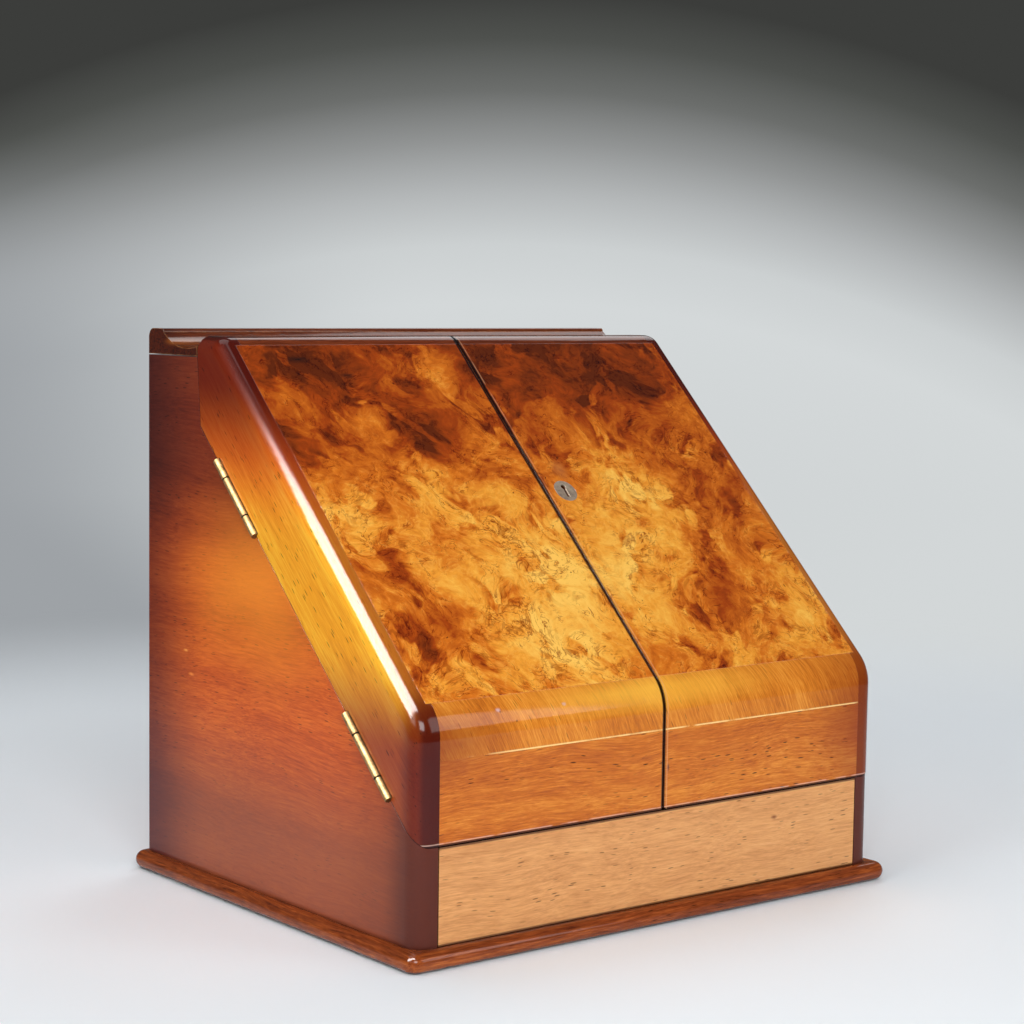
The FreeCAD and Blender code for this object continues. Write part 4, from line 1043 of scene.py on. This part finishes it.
@dataclass(frozen=True)
class Door:
    """One of the two doors: rails, slope board, burr and door side."""

    side: Side

    def zones(self) -> tuple[Zone, ...]:
        """Light and dark areas of this door's burr, part figure and part painted light: mostly lighter low down
        near the meeting doors and darker high up.
        """
        if self.side is Side.LEFT:
            return (
                Zone(-0.030, 0.085, 0.095, 0.30),
                Zone(-0.160, 0.150, 0.050, 0.20),
                Zone(-0.095, 0.160, 0.055, 0.12),
                Zone(-0.060, 0.020, 0.060, 0.16),
                Zone(-0.150, 0.060, 0.060, -0.12),
                Zone(-0.130, 0.275, 0.045, -0.22),
                Zone(-0.075, 0.215, 0.045, -0.12),
                Zone(-0.030, 0.262, 0.040, 0.14),
                Zone(-0.100, 0.230, 0.030, 0.14),
            )
        return (
            Zone(0.030, 0.085, 0.070, 0.30),
            Zone(0.070, 0.165, 0.070, 0.20),
            Zone(0.150, 0.040, 0.060, 0.12),
            Zone(0.100, 0.062, 0.045, -0.20),
            Zone(0.155, 0.130, 0.060, -0.10),
            Zone(0.100, 0.270, 0.080, -0.16),
            Zone(0.030, 0.270, 0.050, -0.12),
        )

    def knots(self, foot: Vector) -> tuple[Spot, ...]:
        """Single dark knots that stand out on this door's burr, and on the right door painted shade inside the
        keyhole.
        """
        if self.side is Side.LEFT:
            return (slope_spot(foot, -0.137, 0.277, 0.014, 0.0045), slope_spot(foot, -0.105, 0.262, 0.008, 0.004))
        return (
            Spot((0.0263, -0.0126, 0.2818), (1.3 * MM, 1.7 * MM, 1.7 * MM), shade(34, 26, 10), 0.95, 0.4),
            Spot((0.0262, -0.0050, 0.2890), (1.0 * MM, 1.2 * MM, 1.2 * MM), shade(96, 44, 20), 0.8, 0.4),
            Spot((0.022, -0.020, 0.275), (9 * MM, 12 * MM, 12 * MM), shade(176, 112, 62), 0.45, 0.6),
            # Painted shade inside the keyhole.
            Spot((0.017, -0.030, 0.262), (5 * MM, 6 * MM, 6 * MM), shade(16, 12, 8), 1.0, 0.2),
        )

    def meeting(self) -> tuple[Line, ...]:
        """Painted shade of the gap along the arris where the doors meet, wider higher up, and on the right door a
        painted highlight on its arris.
        """
        dirt = shade(24, 8, 8)
        dark = Line("X", 0.0, 1.7 * MM, dirt, 0.9, 0.3, 0.0)
        wide = Line("X", 0.0, 2.5 * MM, dirt, 0.9, 0.3, 0.0, ("Z", 0.13, 0.33))
        if self.side is Side.LEFT:
            return (dark, wide)
        # Painted highlight along the right door's arris beside the gap.
        wear_and_highlight = Line("X", 3.0 * MM, 0.7 * MM, shade(226, 170, 126), 0.4, 0.8, 1.2)
        return (dark, wide, wear_and_highlight)

    def stained_end(self) -> tuple[Spot, ...]:
        """A painted pool of light in the middle of the rails where the doors meet, darker outer ends, and small
        dents and marks.
        """
        if self.side is Side.RIGHT:
            return (
                # Darker towards the right end; then a painted pool of light in the middle where the doors meet.
                Spot((0.190, -0.153, 0.11), (0.07, 0.03, 0.09), shade(140, 52, 14), 0.85),
                Spot((0.0, -0.146, 0.146), (0.13, 0.03, 0.016), shade(250, 186, 64), 0.6),
                Spot((4.0 * MM, -0.1536, 0.098), (1.6 * MM, 4 * MM, 4.0 * MM), shade(70, 34, 44), 0.8, 0.6),
            )
        return (
            # Darker towards the left end; then a painted pool of light in the middle where the doors meet.
            Spot((-0.178, -0.150, 0.132), (0.075, 0.03, 0.030), shade(136, 56, 20), 0.85),
            Spot((0.0, -0.146, 0.146), (0.13, 0.03, 0.016), shade(250, 190, 70), 0.7),
            Spot((-0.1292, -0.1502, 0.1471), (2.6 * MM, 4 * MM, 1.6 * MM), shade(214, 186, 196), 0.7, 0.8),
            Spot((-0.1280, -0.1508, 0.1460), (1.2 * MM, 3 * MM, 0.9 * MM), shade(70, 34, 30), 0.7, 0.6),
            Spot((-0.0792, -0.1508, 0.1459), (2.4 * MM, 4 * MM, 1.5 * MM), shade(210, 178, 176), 0.65, 0.8),
            Spot((-0.117, -0.1529, 0.1397), (1.1 * MM, 3 * MM, 1.1 * MM), shade(50, 18, 8), 0.9, 0.3),
        )

    def lower_edge(self) -> tuple[Line, ...]:
        """Painted shadow of the gap under the door's lower arris, and a painted highlight along the arris just
        above it.
        """
        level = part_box(f"{self.side.word}_lower_rail")[0].z
        return (
            Line("Z", level, 1.3 * MM, shade(40, 14, 12), 0.9, 0.4, 0.0),
            Line("Z", level + 1.5 * MM, 0.55 * MM, shade(232, 190, 170), 0.55, 0.8, 0.8),
        )

    def dress(self) -> None:
        """Veneer, band and polish the door; its rails and door side carry painted light and shade."""
        word = self.side.word
        foot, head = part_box(f"{word}_burr_veneer")
        length = (head.z - foot.z) / math.sin(SLOPE)
        marks = self.knots(foot) + self.meeting()
        marks += (Line("Z", foot.z, 0.6 * MM, shade(96, 48, 18), 0.7, 0.6, 0.6),)
        burr = Burr(f"{word}_burr", tuple(foot), length, self.zones(), marks, lean=self.side.value * 0.6)
        dress(burr.make(), f"{word}_burr_veneer")
        board = Timber(
            f"{word}_slope_wood",
            shade(110, 44, 14),
            shade(176, 92, 32),
            shade(214, 130, 56),
            Grain.UP_THE_SLOPE,
            polish=Polish(0.3, 0.5, 0.3),
            # Painted shade inside the keyhole, where it goes through the board.
            marks=(Spot((0.017, -0.030, 0.262), (5 * MM, 9 * MM, 9 * MM), shade(16, 12, 8), 1.0, 0.2),),
        )
        dress(board.make(), f"{word}_slope_board")
        band_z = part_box(f"{word}_nose_rail")[0].z
        appears = ("X", -0.16, -0.11)
        pale = Line("Z", band_z, 1.2 * MM, shade(252, 214, 140), 0.9, fade=appears)
        nose = Timber(
            f"{word}_nose_wood",
            shade(152, 70, 16),
            shade(208, 120, 34),
            shade(236, 160, 62),
            Grain.SLANTING,
            streaks=900.0,
            wave=0.008,
            contrast=0.85,
            pores=0.5,
            wraps=True,
            marks=(*self.stained_end(), pale, *self.meeting()),
        )
        dress(nose.make(), f"{word}_nose_rail")
        lower = Timber(
            f"{word}_lower_wood",
            shade(150, 66, 16),
            shade(196, 104, 28),
            shade(226, 142, 52),
            Grain.ACROSS,
            streaks=800.0,
            wave=0.016,
            pores=1.0,
            marks=(*self.stained_end(), *self.lower_edge(), *self.meeting()),
        )
        dress(lower.make(), f"{word}_lower_rail")
        top = Timber(
            f"{word}_top_wood",
            shade(66, 22, 8),
            shade(96, 38, 14),
            shade(122, 54, 22),
            Grain.ACROSS,
            marks=self.meeting(),
        )
        dress(top.make(), f"{word}_top_rail")
        # Painted shade on the rounded edge between the door side and the slope.
        rounding_shade = Line("X", self.side.value * 178 * MM, 10 * MM, shade(150, 66, 22), 0.8, 0.4, 0.0)
        # Factors of the painted shade low down and along the front corner of the door side.
        low, corner_shade = (0.36, 0.14, 0.34), (0.42, 0.22, 0.28)
        if self.side is Side.RIGHT:
            low, corner_shade = (0.62, 0.40, 0.34), (0.80, 0.66, 0.55)
        # Painted shade on the door side: darker and redder at the top, darker low down and along the front
        # corner.
        painted_shades = (
            darken_to("Z", 366 * MM, 116 * MM, (0.17, 0.08, 0.2), 0.75),
            darken_to("Z", 366 * MM, 136 * MM, (1.0, 0.45, 0.6), 0.5),
            darken_to("Z", 60 * MM, 125 * MM, low, 0.5),
            darken_to("Y", -156 * MM, 25 * MM, corner_shade, 0.7, ("Z", 0.185, 0.145)),
        )
        door_side = Timber(
            f"{word}_door_side_wood",
            shade(206, 116, 24),
            shade(242, 160, 38),
            shade(254, 200, 64),
            Grain.UP_THE_SLOPE,
            stretch=30.0,
            streaks=800.0,
            wave=0.006,
            contrast=0.8,
            polish=Polish(1.0, 0.42, 0.12),
            marks=(rounding_shade, *painted_shades, *self.lower_edge()),
        )
        dress(door_side.make(), f"{word}_door_side")


def slope_spot(foot: Vector, across: float, up: float, wide: float, tall: float) -> Spot:
    """Dark knot on the slope.

    Args:
        foot: Lower corner of the burr.
        across: Metres to the right of the middle.
        up: Metres up the slope from the foot.
        wide: Half its width.
        tall: Half its length up the slope.

    Returns:
        The knot.
    """
    at = (across, foot.y + up * math.cos(SLOPE), foot.z + up * math.sin(SLOPE))
    return Spot(at, (wide, tall, tall), shade(30, 14, 10), 0.85, 0.7)


@dataclass(frozen=True)
class DoorHinges:
    """The two butt hinges of a door, and their screws."""

    side: Side
    screws: int = 3
    end_margin: float = 9.0 * MM
    leaf_middle: float = 8.0 * MM

    def build(self, brass: Metal, heads: bpy.types.Material, slot_dark: bpy.types.Material) -> None:
        """Finish the leaves and pins, and drive the screws in the leaves.

        Args:
            brass: Finish of the leaves, to be drawn with the joints of the knuckles.
            heads: Finish of the screw heads.
            slot_dark: Finish of the slots.
        """
        word = self.side.word
        joint = next(joint for joint in frame["joints"] if joint["name"] == f"{word}_door_hinge")
        pin = Vector(joint["pos_m"])
        breaks = []
        for low, high in stretches(f"{word}_door_hinge_pins", Vector((0.0, math.cos(SLOPE), math.sin(SLOPE)))):
            breaks += [low + (high - low) / 4, high - (high - low) / 4]
        worn = replace(brass, name=f"{word}_hinge_brass", joints=tuple(breaks)).make()
        for part in ("fixed_leaves", "moving_leaves", "pins"):
            dress(worn, f"{word}_door_hinge_{part}")
        along = Vector((0.0, math.cos(SLOPE), math.sin(SLOPE)))
        away = Vector((0.0, math.sin(SLOPE), -math.cos(SLOPE)))
        inward = Vector((-self.side.value, 0.0, 0.0))
        for leaves, body, facing in (("fixed", "cabinet", -away), ("moving", f"{word}_door", away)):
            node = f"{word}_door_hinge_{leaves}_leaves"
            mesh = bmesh.new()
            flat = [
                vertex.co.dot(facing)
                for vertex in frame["nodes"][node].data.vertices
                if (vertex.co - pin).dot(inward) > self.leaf_middle / 2
            ]
            for low, high in stretches(node, along):
                for index in range(self.screws):
                    share = index / (self.screws - 1)
                    up = low + self.end_margin + share * (high - low - 2 * self.end_margin)
                    inset = self.leaf_middle + (1.5 * MM if index == 1 else 0.0)
                    at = inward * (inset + pin.dot(inward)) + along * up + facing * max(flat)
                    Screw().add(mesh, at, facing, 35.0 + 67.0 * index + 400.0 * low)
            add_piece(f"{word}_door_hinge_{leaves}_screws", mesh, body, (heads, slot_dark))


@dataclass(frozen=True)
class Lid:
    """The lid with its pen cove and the screws of its two hinges."""

    screws: int = 2
    end_margin: float = 8.0 * MM
    leaf_middle: float = 5.5 * MM

    def dress(self) -> None:
        """Polish the lid, with a painted highlight on its pen cove near the left end."""
        lid = Timber(
            "lid_wood",
            shade(66, 22, 8),
            shade(98, 40, 15),
            shade(126, 58, 24),
            Grain.ACROSS,
            edge=shade(214, 150, 96),
            edge_share=0.5,
            marks=(
                darken_to("X", -192 * MM, 22 * MM, (0.5, 0.42, 0.6)),
                # Painted highlight on the pen cove near the lid's left end.
                Spot((-0.184, 0.112, 0.3570), (0.03, 0.026, 0.0045), shade(206, 112, 40), 0.6, 0.4),
            ),
        )
        dress(lid.make(), "lid_board")

    def build(self, brass: bpy.types.Material, slot_dark: bpy.types.Material) -> None:
        """Drive the screws in the leaves.

        Args:
            brass: Finish of the heads.
            slot_dark: Finish of the slots.
        """
        joint = next(joint for joint in frame["joints"] if joint["name"] == "lid_hinge")
        pin = Vector(joint["pos_m"])
        across = Vector((1.0, 0.0, 0.0))
        for leaves, body, way in (("fixed", "cabinet", 1.0), ("moving", "lid", -1.0)):
            node = f"lid_hinge_{leaves}_leaves"
            facing = Vector((0.0, 0.0, way))
            mesh = bmesh.new()
            flat = [
                vertex.co.dot(facing)
                for vertex in frame["nodes"][node].data.vertices
                if pin.y - vertex.co.y > self.leaf_middle / 2
            ]
            for low, high in stretches(node, across):
                for index in range(self.screws):
                    share = index / (self.screws - 1)
                    reach = low + self.end_margin + share * (high - low - 2 * self.end_margin)
                    at = Vector((reach, pin.y - self.leaf_middle, 0.0)) + facing * max(flat)
                    Screw(radius=1.9 * MM).add(mesh, at, facing, 20.0 + 75.0 * index)
            add_piece(f"lid_hinge_{leaves}_screws", mesh, body, (brass, slot_dark))


@dataclass(frozen=True)
class Lock:
    """The lock in the right door, its strike plate and their screws."""

    margin: float = 4.5 * MM
    strike_margin: float = 5.0 * MM

    def build(self, metal: bpy.types.Material, slot_dark: bpy.types.Material) -> None:
        """Screw the lock case and the strike plate down.

        Args:
            metal: Finish of the heads.
            slot_dark: Finish of the slots.
        """
        along = Vector((0.0, math.cos(SLOPE), math.sin(SLOPE)))
        inward = Vector((0.0, math.sin(SLOPE), -math.cos(SLOPE)))
        face = max(vertex.co.dot(inward) for vertex in frame["nodes"]["lock_case"].data.vertices)
        low, high = stretches("lock_case", along)[0]
        left, right = stretches("lock_case", Vector((1.0, 0.0, 0.0)))[0]
        mesh = bmesh.new()
        for turn, across in enumerate((left + self.margin, right - self.margin)):
            for up in (low + self.margin, high - self.margin):
                at = Vector((across, 0.0, 0.0)) + along * up + inward * face
                Screw(radius=1.9 * MM).add(mesh, at, inward, 50.0 * turn + 900.0 * up)
        add_piece("lock_screws", mesh, "right_door", (metal, slot_dark))
        low, high = stretches("strike_plate", along)[0]
        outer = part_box("strike_plate")[1].x
        deep = stretches("strike_plate", inward)[0]
        mesh = bmesh.new()
        for up in (low + self.strike_margin, high - self.strike_margin):
            at = Vector((outer, 0.0, 0.0)) + along * up + inward * (sum(deep) / 2)
            Screw(radius=1.7 * MM).add(mesh, at, Vector((1.0, 0.0, 0.0)), 30.0 + 800.0 * up)
        add_piece("strike_plate_screws", mesh, "left_door", (metal, slot_dark))


@dataclass(frozen=True)
class Drawer:
    """The base drawer."""

    def dress(self) -> None:
        """Polish the front, with painted shadows of the gaps above and below it, and leave the box bare."""
        front = Timber(
            "drawer_front_wood",
            shade(176, 110, 62),
            shade(222, 158, 98),
            shade(240, 186, 128),
            Grain.ACROSS,
            streaks=700.0,
            pores=0.7,
            wave=0.012,
            contrast=0.6,
            marks=(
                Spot((0.0984, -0.153, 0.0541), (4 * MM, 6 * MM, 2.2 * MM), shade(112, 50, 34), 0.8),
                # Painted shadows of the gaps above and below the drawer front.
                Line("Z", 71 * MM, 1.6 * MM, shade(58, 24, 14), 0.8, 0.5, 0.0),
                Line("Z", 12.3 * MM, 1.3 * MM, shade(58, 24, 14), 0.7, 0.5, 0.0),
            ),
        )
        dress(front.make(), "drawer_front")
        pine = Timber(
            "drawer_box_wood",
            shade(176, 124, 74),
            shade(206, 158, 106),
            shade(224, 184, 134),
            Grain.FRONT_TO_BACK,
            polish=Polish(0.1, 0.65, 0.4),
            pores=0.35,
        )
        dress(pine.make(), "drawer_left_side", "drawer_right_side", "drawer_bottom")
        back = Timber(
            "drawer_back_wood",
            shade(172, 120, 72),
            shade(202, 154, 102),
            shade(220, 180, 130),
            Grain.ACROSS,
            polish=Polish(0.1, 0.65, 0.4),
            pores=0.35,
        )
        dress(back.make(), "drawer_back", "drawer_stops")


@dataclass(frozen=True)
class Fittings:
    """Letter rack, card partition, ink stand and ink bottles."""

    def dress(self, brass: bpy.types.Material) -> None:
        """Wax the rack and the ink stand and finish the bottles.

        Args:
            brass: Finish of collars and caps.
        """
        tones = dict(dark=shade(92, 36, 14), body=shade(146, 70, 28), light=shade(184, 102, 48))
        wax = Polish(0.55, 0.45, 0.16)
        rack = Timber("rack_wood_across", grain=Grain.ACROSS, polish=wax, **tones)
        dress(rack.make(), "rack_rear_board", "rack_middle_board", "rack_front_board", "ink_stand")
        upright = Timber("rack_wood_upright", grain=Grain.UPRIGHT, polish=wax, **tones)
        dress(upright.make(), "card_partition")
        glass = Glass("bottle_glass_clear").make()
        for side in Side:
            dress(glass, f"{side.word}_ink_bottle")
            dress(brass, f"{side.word}_ink_collar", f"{side.word}_ink_cap")


@dataclass(frozen=True)
class Softbox:
    """A soft studio lamp, or a card that only shows in the polish."""

    name: str
    at: Triple
    aim: Triple
    wide: float
    tall: float
    power: float
    shows: bool = False
    roll: float = 0.0

    def hang(self) -> None:
        """Hang the lamp."""
        lamp = bpy.data.lights.new(self.name, "AREA")
        lamp.shape = "RECTANGLE"
        lamp.size = self.wide
        lamp.size_y = self.tall
        lamp.energy = self.power
        holder = bpy.data.objects.new(self.name, lamp)
        bpy.context.scene.collection.objects.link(holder)
        way = Vector(self.aim) - Vector(self.at)
        turned = way.to_track_quat("-Z", "Y").to_matrix() @ Matrix.Rotation(self.roll, 3, "Z")
        holder.matrix_world = Matrix.Translation(self.at) @ turned.to_4x4()
        holder.visible_camera = False
        holder.visible_diffuse = not self.shows


@dataclass(frozen=True)
class Studio:
    """Backdrop, lamps and camera."""

    floor_radius: float = 3.4
    wall_bend: float = 0.5
    wall_top: float = 2.6
    steps: int = 72
    camera_at: Triple = (-989.05 * MM, -1243.9 * MM, 397.08 * MM)
    yaw: float = 0.671
    pitch: float = 0.095
    roll: float = 0.014
    lens: float = 84.0
    ambient: float = 0.12

    def build(self) -> None:
        """Set up the backdrop, the lamps and the camera."""
        self.roll_out_backdrop()
        self.hang_lamps()
        self.set_camera()

    def roll_out_backdrop(self) -> None:
        """Turn a floor with a wall round it that meet in a bend."""
        mesh = bmesh.new()
        profile = [(0.0, 0.0), (self.floor_radius, 0.0), (self.floor_radius, self.wall_top)]
        points = [mesh.verts.new((across, 0.0, height - 0.3 * MM)) for across, height in profile]
        for first, second in zip(points, points[1:]):
            mesh.edges.new((first, second))
        bmesh.ops.bevel(
            mesh,
            geom=[points[1]],
            affect="VERTICES",
            offset=self.wall_bend,
            segments=12,
            profile=0.5,
            material=-1,
        )
        bmesh.ops.spin(
            mesh,
            geom=list(mesh.verts) + list(mesh.edges),
            axis=(0.0, 0.0, 1.0),
            cent=(0.0, 0.0, 0.0),
            angle=math.tau,
            steps=self.steps,
            use_merge=True,
        )
        bmesh.ops.remove_doubles(mesh, verts=mesh.verts, dist=0.01 * MM)
        bmesh.ops.recalc_face_normals(mesh, faces=mesh.faces)
        for face in mesh.faces:
            face.smooth = True
        data = bpy.data.meshes.new("backdrop")
        mesh.to_mesh(data)
        mesh.free()
        backdrop = bpy.data.objects.new("backdrop", data)
        bpy.context.scene.collection.objects.link(backdrop)
        paper = Paper(
            name="backdrop_paper",
            floor=shade(245, 250, 254),
            levels=(
                (0.0, shade(208, 212, 213)),
                (0.36, shade(212, 216, 217)),
                (0.480, shade(204, 208, 209)),
                (0.586, shade(180, 183, 184)),
                (0.692, shade(146, 148, 148)),
                (0.795, shade(108, 110, 108)),
                (0.900, shade(79, 81, 78)),
                (1.0, shade(60, 61, 59)),
            ),
            ahead=(math.sin(self.yaw), math.cos(self.yaw), 0.0),
            aside=shade(96, 98, 99),
            left=shade(158, 162, 166),
        )
        data.materials.append(paper.make())

    def hang_lamps(self) -> None:
        """Light the box softly from the front and from above on the left."""
        Softbox("front_lamp", (-0.95, -1.45, 0.85), (0.0, -0.10, 0.10), 0.8, 0.6, 18.0).hang()
        Softbox("left_lamp", (-1.5, -0.3, 0.9), (-0.15, 0.0, 0.15), 0.7, 0.7, 5.8).hang()
        Softbox("right_lamp", (0.95, -1.81, 1.0), (0.05, 0.0, 0.1), 0.8, 1.1, 8.6).hang()
        Softbox("rear_lamp", (1.5, 1.1, 1.7), (0.9, 0.6, 0.0), 1.2, 1.2, 11.0).hang()
        Softbox("sky_lamp", (-0.3, 0.5, 2.1), (0.0, 0.2, 0.0), 1.2, 1.2, 8.5).hang()
        Softbox(
            name="edge_card",
            at=(-1.12, -0.24, 1.32),
            aim=(-0.19, -0.08, 0.2),
            wide=0.56,
            tall=1.5,
            power=92.0,
            shows=True,
            roll=-0.65,
        ).hang()
        world = bpy.data.worlds.new("studio_air")
        bpy.context.scene.world = world
        world.use_nodes = True
        air = world.node_tree.nodes["Background"]
        air.inputs["Color"].default_value = (1.0, 1.0, 1.0, 1.0)
        air.inputs["Strength"].default_value = self.ambient

    def set_camera(self) -> None:
        """Stand the camera where the photograph was taken."""
        ahead = Vector((
            math.sin(self.yaw) * math.cos(self.pitch),
            math.cos(self.yaw) * math.cos(self.pitch),
            -math.sin(self.pitch),
        ))
        right = Vector((math.cos(self.yaw), -math.sin(self.yaw), 0.0))
        up = right.cross(ahead)
        level = Matrix((right, up, -ahead)).transposed()
        turned = level @ Matrix.Rotation(self.roll, 3, "Z")
        data = bpy.data.cameras.new("camera")
        data.lens = self.lens
        camera = bpy.data.objects.new("camera", data)
        bpy.context.scene.collection.objects.link(camera)
        camera.matrix_world = Matrix.Translation(self.camera_at) @ turned.to_4x4()
        bpy.context.scene.camera = camera
        bpy.context.scene.view_settings.view_transform = "Standard"


def main() -> None:
    """Dress and fit the box, then set up the studio round it."""
    logging.basicConfig(level=logging.INFO, format="%(message)s")
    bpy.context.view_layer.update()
    Studio().build()
    brass_look = Metal("worn_brass", shade(164, 136, 92), shade(112, 88, 58), shade(48, 34, 22), rough=0.42)
    brass = brass_look.make()
    lock_metal = Metal(
        "dull_brassed_steel", shade(190, 172, 152), shade(142, 124, 108), shade(70, 58, 48), rough=0.40
    ).make()
    slot_dark = Metal("slot_shadow", shade(80, 58, 30), shade(40, 28, 16), shade(14, 10, 8), rough=0.6).make()
    Carcass().dress()
    Lid().dress()
    Lid().build(brass, slot_dark)
    for side in Side:
        Door(side).dress()
        DoorHinges(side).build(brass_look, brass, slot_dark)
    dress(brass, "lid_hinge_fixed_leaves", "lid_hinge_moving_leaves", "lid_hinge_pins")
    Lock().build(lock_metal, slot_dark)
    dress(lock_metal, "lock_case", "lock_bolt", "strike_plate", "keyhole_plate")
    Drawer().dress()
    Fittings().dress(brass)


if __name__ == "__main__":
    main()
